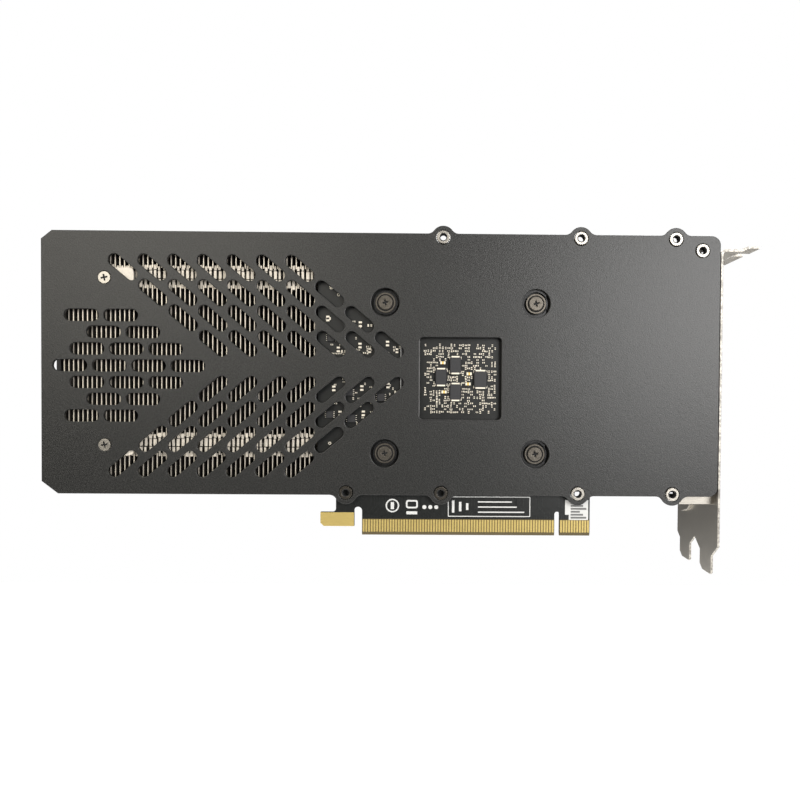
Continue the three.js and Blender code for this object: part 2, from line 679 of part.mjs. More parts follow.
// Memory stands in two columns beside the processor and one pair above it.
function memoryPlaces() {
  const aside = PACKAGE_SIZE / 2 + MEMORY_GAP + MEMORY_WIDTH / 2;
  const places = [];
  for (const side of [-1, 1]) {
    for (const row of [-0.5, 0.5]) {
      places.push([GPU_X + side * aside, GPU_Z + row * (MEMORY_LENGTH + MEMORY_SPACING), true]);
    }
  }
  for (const side of [-1, 1]) {
    places.push([GPU_X + side * (MEMORY_LENGTH + MEMORY_SPACING) / 2, GPU_Z + aside, false]);
  }
  return places;
}

function powerSocket() {
  const low = BOARD_TOP - POWER_DEPTH;
  const body = block(
    POWER_LEFT, BOARD_FACE, low, POWER_LEFT + POWER_WIDTH, POWER_FAR, BOARD_TOP);
  const half = POWER_CELL / 2;
  const cells = powerCells().map(([x, y]) => alongZ(
    roundedBox(x - half, y - half, x + half, y + half, POWER_CELL_ROUND, 1),
    low + POWER_FLOOR, BOARD_TOP + PAST));
  const room = PIN_SIZE / 2 + SEAT;
  const bores = powerCells().map(([x, y]) => block(
    x - room, y - room, low - PAST, x + room, y + room, low + POWER_FLOOR + PAST));
  return cut(body, ...cells, ...bores);
}

function powerCells() {
  const cells = [];
  for (let row = 0; row < POWER_ROWS; row += 1) {
    for (let column = 0; column < POWER_COLUMNS; column += 1) {
      cells.push([
        POWER_LEFT + POWER_WALL + (column + 0.5) * POWER_PITCH,
        BOARD_FACE + POWER_WALL + (row + 0.5) * POWER_PITCH,
      ]);
    }
  }
  return cells;
}

// Eight square pins rising from one carrier under the socket.
function powerPins() {
  const floor = BOARD_TOP - POWER_DEPTH - SEAT;
  const carrier = block(POWER_LEFT + POWER_WALL, BOARD_FACE, floor - PIN_CARRIER,
    POWER_LEFT + POWER_WIDTH - POWER_WALL, POWER_FAR - POWER_WALL, floor);
  const half = PIN_SIZE / 2;
  const pins = powerCells().map(([x, y]) => block(
    x - half, y - half, floor - OVERLAP, x + half, y + half, floor + POWER_FLOOR + PIN_LENGTH));
  return join(carrier, ...pins);
}

// ---- Heatsink --------------------------------------------------------------------------

function coldPlate() {
  const half = COLD_PLATE_SIZE / 2;
  const plate = block(GPU_X - half, DIE_TOP, GPU_Z - half, GPU_X + half, COLD_PLATE_TOP,
    GPU_Z + half);
  return cut(plate, ...GPU_SCREWS.map(([x, z]) => rod(
    x, z, GPU_SHANK + SEAT, DIE_TOP - PAST, COLD_PLATE_TOP + PAST, 12)));
}

// Heat pipes 0 and 1 are above the middle and 2 and 3 below it; 0 and 3 are the outer pair.
const pipeSide = (i) => (i < PIPE_COUNT / 2 ? 1 : -1);
const pipeIsOuter = (i) => i === 0 || i === PIPE_COUNT - 1;
const pipeFarZ = (i) => FAN_Z + PIPE_MID_RISE + pipeSide(i) * PIPE_HEIGHTS[pipeIsOuter(i) ? 0 : 1];

// A pipe runs through the left fins, bends towards the middle and crosses the cold plate.
function heatPipe(i) {
  const depth = pipeIsOuter(i) ? OUTER_PIPE_DEPTH : PIPE_DEPTH;
  const farZ = pipeFarZ(i);
  const nearZ = GPU_Z + pipeSide(i) * (pipeIsOuter(i) ? 1.5 : 0.5) * PIPE_PITCH;
  const bendStart = BOARD_LEFT + (pipeIsOuter(i) ? PIPE_STAGGER : 0);
  const bendEnd = bendStart + PIPE_BEND;
  const rise = BOARD_LEFT - PIPE_BEND;
  const points = [
    [FIN_LEFT + PIPE_END, depth, farZ], [rise - PIPE_LEAD, depth, farZ], [rise, depth, farZ],
    [BOARD_LEFT - 2 * PIPE_LEAD, PIPE_DEPTH, farZ], [bendStart - PIPE_LEAD, PIPE_DEPTH, farZ],
    [bendStart, PIPE_DEPTH, farZ], [bendEnd, PIPE_DEPTH, nearZ],
    [bendEnd + PIPE_LEAD, PIPE_DEPTH, nearZ],
    [GPU_X + COLD_PLATE_SIZE / 2 - PIPE_END, PIPE_DEPTH, nearZ],
  ].map((p) => new THREE.Vector3(...p));
  const path = new THREE.CatmullRomCurve3(points, false, 'centripetal');
  return new THREE.ExtrudeGeometry(
    shapeOf(circle(0, 0, PIPE_RADIUS, PIPE_SIDES)), { steps: PIPE_STEPS, extrudePath: path });
}

// Evenly spaced fins joined by a folded strip along the top and one along the bottom.
function finLadder(x0, x1, y0, y1) {
  const run = x1 - x0 - FIN_THICK;
  const count = Math.round(run / FIN_PITCH);
  const fins = Array.from({ length: count + 1 }, (_, i) => {
    const x = x0 + i * run / count;
    return block(x, y0, FIN_BOTTOM, x + FIN_THICK, y1, FIN_TOP);
  });
  const strips = [[FIN_BOTTOM, FIN_BOTTOM + FIN_EDGE], [FIN_TOP - FIN_EDGE, FIN_TOP]].map(
    ([low, high]) => block(x0, y0, low, x1, y1, high));
  return join(...strips, ...fins);
}

// The left fins reach past the board's end, with channels for the pipes.
function leftFins() {
  const right = BOARD_LEFT - FIN_BOARD_GAP;
  const ladder = finLadder(FIN_LEFT, right, FIN_NEAR, FIN_FAR);
  const room = PIPE_RADIUS + SEAT;
  const channels = Array.from({ length: PIPE_COUNT }, (_, i) => block(
    FIN_LEFT - PAST, FIN_NEAR - PAST, pipeFarZ(i) - room, right + PAST, PIPE_DEPTH + room,
    pipeFarZ(i) + room));
  return cut(ladder, ...channels);
}

const rightFins = () => finLadder(
  BOARD_LEFT - FIN_BOARD_GAP + END_GAP, FIN_RIGHT, RIGHT_FIN_NEAR, FIN_FAR);

function endTab([x, z]) {
  const outline = roundedBox(x - END_TAB_OVERHANG, z - END_TAB_WIDTH / 2,
    x - END_TAB_OVERHANG + END_TAB_LENGTH, z + END_TAB_WIDTH / 2, END_TAB_ROUND, 3);
  return alongY(outline, PLATE_INNER, FIN_NEAR, [circle(x, z, SMALL_SHANK + SEAT, 10)]);
}

// ---- Fasteners -------------------------------------------------------------------------

function smallScrew() {
  return join(
    rod(0, 0, SMALL_HEAD_RADIUS, PLATE_OUTER - SMALL_HEAD_PROUD, PLATE_OUTER + SMALL_HEAD_DEPTH, 16),
    rod(0, 0, SMALL_SHANK, PLATE_OUTER, PLATE_OUTER + SMALL_SHANK_LENGTH, 10));
}

const gpuHeadUnder = PLATE_OUTER + GPU_HEAD_SUNK + GPU_HEAD_DEPTH;

function gpuScrew() {
  return join(
    rod(0, 0, GPU_HEAD_RADIUS, PLATE_OUTER + GPU_HEAD_SUNK, gpuHeadUnder, 16),
    rod(0, 0, GPU_SHANK, gpuHeadUnder - OVERLAP, COLD_PLATE_TOP - SEAT, 12));
}

// A split spring washer between the screw's head and the board; it never meets itself.
function gpuSpring() {
  const low = gpuHeadUnder + SPRING_WIRE + FIT / 2;
  const high = BOARD_BACK - SPRING_WIRE - FIT / 2;
  const steps = Math.round(SPRING_TURNS * 11);
  const points = Array.from({ length: steps + 1 }, (_, i) => {
    const angle = 2 * Math.PI * SPRING_TURNS * i / steps;
    return new THREE.Vector3(
      SPRING_RADIUS * Math.cos(angle), low + (high - low) * i / steps,
      SPRING_RADIUS * Math.sin(angle));
  });
  return new THREE.ExtrudeGeometry(
    shapeOf(circle(0, 0, SPRING_WIRE, 5)),
    { steps, extrudePath: new THREE.CatmullRomCurve3(points) });
}

const clinchNut = () => alongY(
  circle(0, 0, NUT_RADIUS, 12), PLATE_OUTER - NUT_PROUD, BOARD_BACK,
  [circle(0, 0, NUT_BORE, 8)]);

// ---- Shroud and fans -------------------------------------------------------------------

function shroudOutline(inset) {
  const c = SHROUD_CHAMFER - inset * Math.tan(Math.PI / 8);
  const [l, b, t] = [SHROUD_LEFT + inset, SHROUD_BOTTOM + inset, SHROUD_TOP - inset];
  const r = SHROUD_RIGHT + (inset > 0 ? PAST : 0);
  return [[l + c, b], [r, b], [r, t], [l + c, t], [l, t - c], [l, b + c]];
}

function shroud() {
  const panelNear = SHROUD_FRONT - SHROUD_WALL;
  const fans = [LEFT_FAN_X, RIGHT_FAN_X];
  const shell = cut(
    alongY(shroudOutline(0), SHROUD_RIM, SHROUD_FRONT),
    alongY(shroudOutline(SHROUD_WALL), SHROUD_RIM - PAST, panelNear));
  const collars = fans.map((x) => rod(
    x, FAN_Z, FAN_OPENING + COLLAR_WALL, FRAME_FAR, panelNear + SHROUD_WALL / 2, 40));
  const outer = alongY(shroudOutline(SHROUD_WALL / 2), SHROUD_RIM - PAST, SHROUD_FRONT + PAST);
  const trimmed = collars.map((c) => toGeometry(toSolid(c).intersect(toSolid(outer))));
  const openings = fans.map((x) => rod(x, FAN_Z, FAN_OPENING, 0, SHROUD_FRONT + PAST, 40));
  const powerGate = block(POWER_LEFT - POWER_ROOM, 0, SHROUD_TOP - SHROUD_WALL - PAST,
    POWER_LEFT + POWER_WIDTH + POWER_ROOM, POWER_FAR + POWER_ROOM, SHROUD_TOP + PAST);
  return cut(join(shell, ...trimmed), ...openings, powerGate);
}

// The motor's base and post, on four struts in a ring.
function fanFrame() {
  const outer = FAN_OPENING + COLLAR_WALL;
  const ring = alongY(circle(0, 0, outer, 32), FRAME_NEAR, FRAME_FAR,
    [circle(0, 0, outer - RING_WIDTH, 32)]);
  const struts = Array.from({ length: STRUT_COUNT }, (_, i) =>
    block(0, FRAME_NEAR, -STRUT_WIDTH / 2, outer - RING_WIDTH / 2, FRAME_FAR, STRUT_WIDTH / 2)
      .rotateY(2 * Math.PI * (i + 0.5) / STRUT_COUNT));
  const base = rod(0, 0, HUB_RADIUS - MOTOR_BASE_INSET, FRAME_NEAR, FRAME_FAR, 20);
  const post = rod(0, 0, HUB_RADIUS - HUB_WALL - MOTOR_POST_GAP,
    FRAME_FAR - OVERLAP, HUB_FAR - HUB_WALL - FAN_GAP, 20);
  const bore = rod(0, 0, MOTOR_BORE, FRAME_NEAR + MOTOR_FLOOR, HUB_FAR, 12);
  const shell = alongY(box2(
    -outer, SHROUD_BOTTOM + SHROUD_WALL + SEAT - FAN_Z, outer,
    SHROUD_TOP - SHROUD_WALL - SEAT - FAN_Z), FRAME_NEAR - PAST, HUB_FAR);
  const frame = join(ring, ...struts, base, post);
  return cut(toGeometry(toSolid(frame).intersect(toSolid(shell))), bore);
}

// One blade: a thin arched section, drawn in (along the rim, along the axis), run outwards.
function blade() {
  const half = BLADE_CHORD / 2;
  const sag = BLADE_CAMBER;
  const radius = (half * half + sag * sag) / (2 * sag);
  const spread = THREE.MathUtils.radToDeg(Math.asin(half / radius));
  const section = [
    ...arc(0, sag - radius, radius, 90 - spread, 90 + spread, 4),
    ...arc(0, sag - radius, radius - BLADE_THICK, 90 + spread, 90 - spread, 4),
  ];
  const inner = HUB_RADIUS - HUB_WALL - FAN_GAP;
  const length = FAN_OPENING - TIP_GAP - inner;
  const middle = (HUB_NEAR + HUB_FAR) / 2 - sag / 2 + BLADE_THICK / 2;
  return extrude(section, [], length)
    .rotateZ(THREE.MathUtils.degToRad(BLADE_PITCH))
    .translate(0, middle, inner);
}

function fanRotor() {
  const blades = Array.from({ length: BLADE_COUNT }, (_, i) =>
    blade().rotateY(2 * Math.PI * i / BLADE_COUNT));
  const hub = rod(0, 0, HUB_RADIUS, HUB_NEAR, HUB_FAR, 33);
  const cup = rod(0, 0, HUB_RADIUS - HUB_WALL, HUB_NEAR - PAST, HUB_FAR - HUB_WALL, 24);
  const shaftHole = rod(0, 0, SHAFT_RADIUS + SEAT, HUB_NEAR, HUB_FAR - HUB_WALL / 2, 12);
  return cut(join(hub, ...blades), cup, shaftHole);
}

const fanShaft = () => rod(
  0, 0, SHAFT_RADIUS, FRAME_NEAR + MOTOR_FLOOR + SEAT, HUB_FAR - HUB_WALL / 2 - FIT, 12);

// ---- Assembly --------------------------------------------------------------------------

const card = new THREE.Group();

function place(name, geometry, material, x = 0, z = 0) {
  const mesh = new THREE.Mesh(geometry, material());
  mesh.name = name;
  mesh.position.set(x, 0, z);
  card.add(mesh);
}

place('back_plate', backPlate(), darkCoat);
place('insulating_film', insulatingFilm(), blackFilm);
place('circuit_board', circuitBoard(), boardMask);
place('slot_bracket', slotBracket(), nickel);

for (let i = 0; i < PORT_COUNT; i += 1) {
  place(`video_port_${i + 1}`, portShell(i), nickel);
  place(`video_port_insert_${i + 1}`, portInsert(i), blackPlastic);
}

place('power_socket', powerSocket(), blackPlastic);
place('power_pins', powerPins(), gold);
place('gpu_package', gpuPackage(), chipBlack);

memoryPlaces().forEach(([x, z, upright], i) => {
  const [width, height] = upright
    ? [MEMORY_WIDTH, MEMORY_LENGTH] : [MEMORY_LENGTH, MEMORY_WIDTH];
  place(`memory_chip_${i + 1}`, chip(x, z, width, height, MEMORY_THICK), chipBlack);
});

for (let i = 0; i < CHOKE_COUNT; i += 1) {
  const z = GPU_Z + (i - (CHOKE_COUNT - 1) / 2) * CHOKE_PITCH;
  place(`power_choke_${i + 1}`, chip(
    BOARD_LEFT + CHOKE_FROM_LEFT, z, CHOKE_SIZE, CHOKE_SIZE, CHOKE_THICK), ferrite);
}
place('capacitor', rod(0, 0, CAPACITOR_RADIUS, BOARD_FACE, BOARD_FACE + CAPACITOR_THICK, 14),
  aluminium, GPU_X + PACKAGE_SIZE + CAPACITOR_GAP, GPU_Z);

place('cold_plate', coldPlate(), copper);
for (let i = 0; i < PIPE_COUNT; i += 1) {
  place(`heat_pipe_${i + 1}`, heatPipe(i), copper);
}
place('fin_stack_left', leftFins(), aluminium);
place('fin_stack_right', rightFins(), aluminium);

SMALL_SCREWS.forEach(([x, z], i) => {
  const level = i === 0 ? 'lower' : 'upper';
  place(`heatsink_tab_${level}`, endTab([x, z]), aluminium);
  place(`plate_screw_${level}`, smallScrew(), nickel, x, z);
});

GPU_SCREWS.forEach(([x, z], i) => {
  place(`gpu_screw_${i + 1}`, gpuScrew(), nickel, x, z);
  place(`gpu_spring_${i + 1}`, gpuSpring(), nickel, x, z);
});

NUTS.forEach(([x, z], i) => place(`clinch_nut_${i + 1}`, clinchNut(), nickel, x, z));

place('shroud', shroud(), blackPlastic);
for (const [side, x] of [['left', LEFT_FAN_X], ['right', RIGHT_FAN_X]]) {
  place(`fan_frame_${side}`, fanFrame(), blackPlastic, x, FAN_Z);
  place(`fan_rotor_${side}`, fanRotor(), greyPlastic, x, FAN_Z);
  place(`fan_shaft_${side}`, fanShaft(), nickel, x, FAN_Z);
}

export default card;
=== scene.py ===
"""Two-fan graphics card, seen from its back plate: pieces, finishes and a plain studio."""

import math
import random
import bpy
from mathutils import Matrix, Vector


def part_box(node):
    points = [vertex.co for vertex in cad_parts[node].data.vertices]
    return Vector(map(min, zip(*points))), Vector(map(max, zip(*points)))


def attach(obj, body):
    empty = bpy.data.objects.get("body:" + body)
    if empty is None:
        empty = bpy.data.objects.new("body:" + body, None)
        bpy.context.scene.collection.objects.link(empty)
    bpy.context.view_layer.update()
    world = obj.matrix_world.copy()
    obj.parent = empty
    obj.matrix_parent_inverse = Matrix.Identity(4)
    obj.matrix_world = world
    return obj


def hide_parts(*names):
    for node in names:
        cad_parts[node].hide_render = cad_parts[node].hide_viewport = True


bl_info = {
    "name": "Two-fan graphics card",
    "version": (1, 0, 0),
    "blender": (4, 5, 0),
    "location": "View3D > Sidebar > Card",
    "description": "Builds a two-fan graphics card and a plain studio round it",
    "category": "Add Mesh",
}

import bmesh
import bpy
from mathutils import Matrix, Vector

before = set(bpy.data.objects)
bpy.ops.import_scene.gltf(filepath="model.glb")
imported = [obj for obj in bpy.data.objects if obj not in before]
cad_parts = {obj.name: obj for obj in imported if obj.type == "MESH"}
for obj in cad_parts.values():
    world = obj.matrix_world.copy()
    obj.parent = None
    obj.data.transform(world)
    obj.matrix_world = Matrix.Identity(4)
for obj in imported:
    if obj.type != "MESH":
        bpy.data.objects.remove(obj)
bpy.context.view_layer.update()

MM = 0.001


def corners(node):
    """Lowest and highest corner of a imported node, in millimetres."""
    low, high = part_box(node)
    return low / MM, high / MM


def middle(node):
    """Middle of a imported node's box, in millimetres."""
    low, high = corners(node)
    return (low + high) / 2


# ---- Places, in millimetres, from the frame ------------------------------------------------

PLATE_LOW, PLATE_HIGH = corners("back_plate")
BOARD_LOW, BOARD_HIGH = corners("circuit_board")
FILM_LOW, FILM_HIGH = corners("insulating_film")
BRACKET_LOW, BRACKET_HIGH = corners("slot_bracket")
SHROUD_LOW, SHROUD_HIGH = corners("shroud")
NUTS = [middle(f"clinch_nut_{i}") for i in range(1, 9)]
TOP_NUTS = NUTS[:3]
CORNER_NUT = NUTS[3]
BOTTOM_NUTS = NUTS[4:]
GPU_SCREWS = [middle(f"gpu_screw_{i}") for i in range(1, 5)]
PLATE_SCREWS = [middle("plate_screw_lower"), middle("plate_screw_upper")]
GPU = middle("gpu_package")
FANS = {side: middle(f"fan_shaft_{side}") for side in ("left", "right")}
BACK = BOARD_LOW.y
FACE = BOARD_HIGH.y


# ---- Sizes and colours ---------------------------------------------------------------------

def length(name, description, millimetres):
    """A length that a user can change."""
    return bpy.props.FloatProperty(
        name=name, description=description, default=millimetres * MM, min=0.0,
        precision=5, unit="LENGTH")


def colour(name, description, red, green, blue):
    """A colour that a user can change, given as it looks on screen, 0 to 255."""
    screen = [channel / 255 for channel in (red, green, blue)]
    linear = [((c + 0.055) / 1.055) ** 2.4 if c > 0.04045 else c / 12.92 for c in screen]
    return bpy.props.FloatVectorProperty(
        name=name, description=description, default=linear, size=3, min=0.0, max=1.0,
        subtype="COLOR")


class CardSizes(bpy.types.PropertyGroup):
    """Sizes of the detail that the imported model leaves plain."""

    slot_length: length("Slot length", "Length of a vent slot over its round ends", 12.45)
    slot_width: length("Slot width", "Width of a vent slot", 4.4)
    row_pitch: length("Row pitch", "Distance between rows of straight slots", 6.07)
    column_pitch: length("Column pitch", "Distance between straight slots in a row", 14.18)
    slant_pitch: length("Slanted pitch", "Distance between slanted slots in a row", 10.65)
    slant_shift: length("Slanted shift", "How far each slanted row starts after the last", 10.885)
    slant_rise: length("Slanted rise", "Distance between rows of slanted slots", 9.14)
    fin_pitch: length("Fin pitch", "Distance between heatsink fins", 1.69)
    fin_thickness: length("Fin thickness", "Thickness of a heatsink fin", 0.33)
    pipe_radius: length("Pipe radius", "Radius of a heat pipe", 3.0)
    contact_pitch: length("Contact pitch", "Distance between edge contacts", 1.0)
    contact_width: length("Contact width", "Width of an edge contact", 0.7)
    sheet_round: length("Sheet edge", "Rounding on the edges of punched sheet", 0.2)
    mould_round: length("Moulded edge", "Rounding on the edges of mouldings", 0.7)


class CardColours(bpy.types.PropertyGroup):
    """Colours of the finishes."""

    coat: colour("Powder coat", "Back plate", 31, 31, 30)
    mask: colour("Solder mask", "Circuit board", 13, 15, 14)
    track: colour("Tracks", "Copper tracks under the mask", 27, 29, 28)
    gold: colour("Gold", "Edge contacts and pins", 208, 184, 112)
    laminate: colour("Laminate", "Bare board between the contacts", 78, 66, 32)
    nickel: colour("Nickel", "Bracket, ports and fasteners", 184, 179, 170)
    dark_nickel: colour("Dark nickel", "Spring screws", 124, 118, 109)
    fin: colour("Fins", "Aluminium fins and tabs", 236, 227, 212)
    copper: colour("Copper", "Heat pipes and cold plate", 196, 128, 92)
    plastic: colour("Moulding", "Shroud, fan frames and sockets", 34, 34, 35)
    blade: colour("Fan", "Fan rotors", 44, 44, 46)
    chip: colour("Chip", "Moulded chip bodies", 36, 36, 38)
    ceramic: colour("Ceramic", "Small capacitor bodies", 44, 37, 31)
    solder: colour("Solder", "Terminals of the small parts", 246, 238, 220)
    amber: colour("Amber", "Tantalum part bodies", 226, 186, 84)
    ink: colour("Ink", "Printed marks and the label", 214, 214, 212)


# ---- Shader building -----------------------------------------------------------------------

class Signal:
    """A shader socket that takes part in arithmetic."""

    def __init__(self, finish, socket):
        self.finish = finish
        self.socket = socket

    def _maths(self, operation, first, second):
        return self.finish.node("ShaderNodeMath", {"operation": operation}, {0: first, 1: second})

    def __add__(self, other):
        return self._maths("ADD", self, other)

    def __radd__(self, other):
        return self._maths("ADD", other, self)

    def __sub__(self, other):
        return self._maths("SUBTRACT", self, other)

    def __rsub__(self, other):
        return self._maths("SUBTRACT", other, self)

    def __mul__(self, other):
        return self._maths("MULTIPLY", self, other)

    def __rmul__(self, other):
        return self._maths("MULTIPLY", other, self)


class Finish:
    """A material built round one Principled shader, on coordinates fixed to the piece."""

    def __init__(self, name):
        self.material = bpy.data.materials.new(name)
        self.material.use_nodes = True
        self.tree = self.material.node_tree
        self.shader = self.tree.nodes["Principled BSDF"]
        self.place = self.node("ShaderNodeTexCoord", {}, {}, "Object")

    def put(self, socket, value):
        """Give a socket a link or a value."""
        if isinstance(value, Signal):
            self.tree.links.new(value.socket, socket)
        else:
            socket.default_value = value

    def node(self, kind, settings, inputs, output=0):
        """Add one node, its settings first and then its sockets."""
        node = self.tree.nodes.new(kind)
        for key, value in settings.items():
            if key == "stops":
                for stop, (position, level) in zip(node.color_ramp.elements, value):
                    stop.position = position
                    stop.color = (level, level, level, 1)
            else:
                setattr(node, key, value)
        for key, value in inputs.items():
            self.put(node.inputs[key], value)
        return Signal(self, node.outputs[output])

    def noise(self, millimetres, detail=2.0, stretch=(1, 1, 1)):
        """Soft noise whose lumps are about that wide."""
        place = self.node(
            "ShaderNodeVectorMath", {"operation": "MULTIPLY"}, {0: self.place, 1: stretch})
        return self.node("ShaderNodeTexNoise", {}, {
            "Vector": place, "Scale": 1 / (millimetres * MM), "Detail": detail})

    def ramp(self, signal, low, high):
        """0 below low, 1 above high, straight between."""
        return self.node(
            "ShaderNodeValToRGB", {"stops": [(low, 0.0), (high, 1.0)]}, {"Fac": signal})

    def mix(self, factor, first, second):
        """From one colour to another."""
        return self.node("ShaderNodeMix", {"data_type": "RGBA"}, {
            0: factor, 6: self.opaque(first), 7: self.opaque(second)}, 2)

    @staticmethod
    def opaque(value):
        return value if isinstance(value, Signal) else (*value[:3], 1)

    def bump(self, height, depth_mm, strength=1.0):
        """Relief of about that depth."""
        relief = self.node("ShaderNodeBump", {}, {
            "Strength": strength, "Distance": depth_mm * MM, "Height": height}, "Normal")
        self.put(self.shader.inputs["Normal"], relief)

    def set(self, **sockets):
        """Set the shader's own sockets; an underscore stands for a space."""
        for name, value in sockets.items():
            self.put(self.shader.inputs[name.replace("_", " ")], value)


def shade(base, share):
    """A colour made lighter or darker by a share."""
    return [min(1.0, channel * share) for channel in base]


finishes = {}


def powder_coat(name, base):
    """Satin coat with a fine grain and a faint orange peel."""
    finish = Finish(name)
    grain = finish.noise(0.42, 3.0)
    speck = finish.ramp(grain, 0.36, 0.66)
    cloud = finish.noise(14, 2.0)
    tone = finish.mix(speck, shade(base, 0.4), shade(base, 2.2))
    finish.set(
        Base_Color=finish.mix(cloud * 0.35, tone, shade(base, 0.85)),
        Roughness=0.33 + grain * 0.13,
        Metallic=0.0)
    finish.bump(grain + finish.noise(1.3) * 0.5, 0.06, 0.9)
    return finish.material


def solder_mask(name, base, sheen=0.32):
    """Satin lacquer over a faint weave."""
    finish = Finish(name)
    weave = finish.noise(0.9, 4.0, (1, 1, 0.6))
    finish.set(
        Base_Color=finish.mix(weave, shade(base, 0.7), shade(base, 1.3)),
        Roughness=sheen + weave * 0.15)
    finish.bump(weave, 0.02, 0.5)
    return finish.material


def plated(name, base, rough=0.26, stretch=(1, 1, 1), grain_mm=0.9, metallic=1.0, wear=0.8):
    """Plated or bare metal with drawn streaks and light staining."""
    finish = Finish(name)
    streak = finish.noise(grain_mm, 3.0, stretch)
    stain = finish.ramp(finish.noise(6, 4.0), 0.35, 0.75)
    tone = finish.mix(streak, shade(base, wear), base)
    finish.set(
        Base_Color=finish.mix(stain * 0.35, tone, shade(base, wear)),
        Roughness=rough + streak * 0.18,
        Metallic=metallic)
    finish.bump(streak, 0.012, 0.5)
    return finish.material


def punched_edge(name, base):
    """The torn edge of punched sheet: bright metal broken by dark flecks."""
    finish = Finish(name)
    tear = finish.noise(1.0, 3.0)
    finish.set(
        Base_Color=finish.mix(finish.ramp(tear, 0.4, 0.6), shade(base, 0.4), base),
        Roughness=0.35 + tear * 0.2,
        Metallic=0.4)
    finish.bump(tear, 0.05, 0.8)
    return finish.material


# Where the fins' painted shade starts from each face of the stack, and how deep it takes to fade to
# near black.
FIN_FRONT = -1.05 * MM
FIN_REAR = 21.8 * MM
FRONT_SHADE_FADE = 0.2 * MM
REAR_SHADE_FADE = 9.0 * MM


def fin_stock(name, base):
    """Aluminium that is bright at the stack's two faces and darkened by painted shade between them."""
    finish = Finish(name)
    depth = finish.node("ShaderNodeSeparateXYZ", {}, {0: finish.place}, "Y")
    # Painted shade: the colour falls to near black away from the two faces, standing for the shade deep
    # between the fins.
    near = finish.ramp((depth - FIN_FRONT) * (1 / FRONT_SHADE_FADE), 0.0, 1.0)
    far = finish.ramp((FIN_REAR - depth) * (1 / REAR_SHADE_FADE), 0.0, 1.0)
    streak = finish.noise(1.8, 3.0, (1, 1, 8))
    stain = finish.ramp(finish.noise(4, 3.0), 0.35, 0.7)
    tone = finish.mix(stain, shade(base, 0.7), base)
    finish.set(
        Base_Color=finish.mix(near * far, tone, shade(base, 0.05)),
        Roughness=0.36 + streak * 0.18,
        Metallic=0.55)
    finish.bump(streak, 0.012, 0.5)
    return finish.material


def moulding(name, base, rough=0.45, grain_mm=0.35, depth_mm=0.03):
    """Moulded plastic with a spark-eroded grain."""
    finish = Finish(name)
    grain = finish.noise(grain_mm, 2.0)
    cloud = finish.noise(9, 2.0)
    finish.set(
        Base_Color=finish.mix(cloud, shade(base, 0.85), shade(base, 1.15)),
        Roughness=rough + grain * 0.15)
    finish.bump(grain, depth_mm, 0.6)
    return finish.material


def printed(name, base):
    """Matt ink or paper with slight unevenness."""
    finish = Finish(name)
    spread = finish.noise(0.3, 2.0)
    finish.set(
        Base_Color=finish.mix(spread, shade(base, 0.82), base), Roughness=0.6 + spread * 0.1)
    finish.bump(spread, 0.01, 0.4)
    return finish.material


EVEN = (1, 1, 1)


def make_finishes(colours):
    """Every finish, by name."""
    finishes.update(
        coat=powder_coat("powder_coat", colours.coat),
        film=moulding("film", shade(colours.plastic, 0.55), rough=0.22, grain_mm=1.2, depth_mm=0.01),
        mask=solder_mask("solder_mask", colours.mask),
        track=solder_mask("masked_track", colours.track, sheen=0.28),
        gold=plated("gold_plate", colours.gold, rough=0.3, stretch=(1, 1, 6), grain_mm=1.5,
                    metallic=0.4, wear=0.86),
        laminate=moulding("bare_laminate", colours.laminate, rough=0.5, grain_mm=0.25, depth_mm=0.02),
        nickel=plated("nickel_plate", colours.nickel, rough=0.28, stretch=(1, 1, 12), grain_mm=2.4),
        cut_edge=punched_edge("cut_edge", shade(colours.nickel, 1.1)),
        aged_nickel=plated("aged_nickel", shade(colours.dark_nickel, 0.5), rough=0.3, stretch=EVEN,
                           grain_mm=0.5, metallic=0.9, wear=0.5),
        dark_nickel=plated("dark_nickel", colours.dark_nickel, rough=0.3, stretch=EVEN,
                           grain_mm=0.5, metallic=0.9, wear=0.35),
        fin=fin_stock("fin_aluminium", colours.fin),
        tinned=plated("tinned", shade(colours.fin, 1.15), rough=0.42, stretch=EVEN, grain_mm=0.7,
                      metallic=0.1, wear=0.65),
        # Painted highlight: a light grey for thin strips that stand for the bright lines along the
        # window's and film's left edges.
        film_edge=moulding("film_edge", shade(colours.ink, 0.45), rough=0.4, grain_mm=0.4,
                           depth_mm=0.01),
        # Painted shade: a near-black for the bottoms of recesses, the nut bores and the screw grooves.
        dark=moulding("painted_recess_shade", shade(colours.chip, 0.3), rough=0.7, grain_mm=0.3, depth_mm=0.01),
        copper=plated("drawn_copper", colours.copper, rough=0.3, stretch=(0.2, 1, 1), grain_mm=0.7,
                      metallic=1.0, wear=0.7),
        plastic=moulding("moulded_black", colours.plastic),
        blade=moulding("fan_moulding", colours.blade, rough=0.36, grain_mm=0.5, depth_mm=0.015),
        chip=moulding("chip_compound", colours.chip, rough=0.42, grain_mm=0.12, depth_mm=0.02),
        ceramic=moulding("ceramic", colours.ceramic, rough=0.4, grain_mm=0.2, depth_mm=0.01),
        solder=plated("solder", colours.solder, rough=0.35, stretch=EVEN, grain_mm=0.25,
                      metallic=0.1, wear=0.8),
        amber=moulding("amber_body", colours.amber, rough=0.4, grain_mm=0.2, depth_mm=0.01),
        ink=printed("white_ink", colours.ink),
        faint_ink=printed("faint_ink", shade(colours.ink, 0.22)))


# ---- Outlines ------------------------------------------------------------------------------

def arc(cx, cy, radius, start, end, steps):
    """Points on a round stretch from one angle to another, in degrees."""
    angles = [math.radians(start + (end - start) * i / steps) for i in range(steps + 1)]
    return [(cx + radius * math.cos(a), cy + radius * math.sin(a)) for a in angles]


def circle(cx, cy, radius, sides=48):
    """A round outline, without repeating its first point."""
    return arc(cx, cy, radius, 0, 360, sides)[:-1]


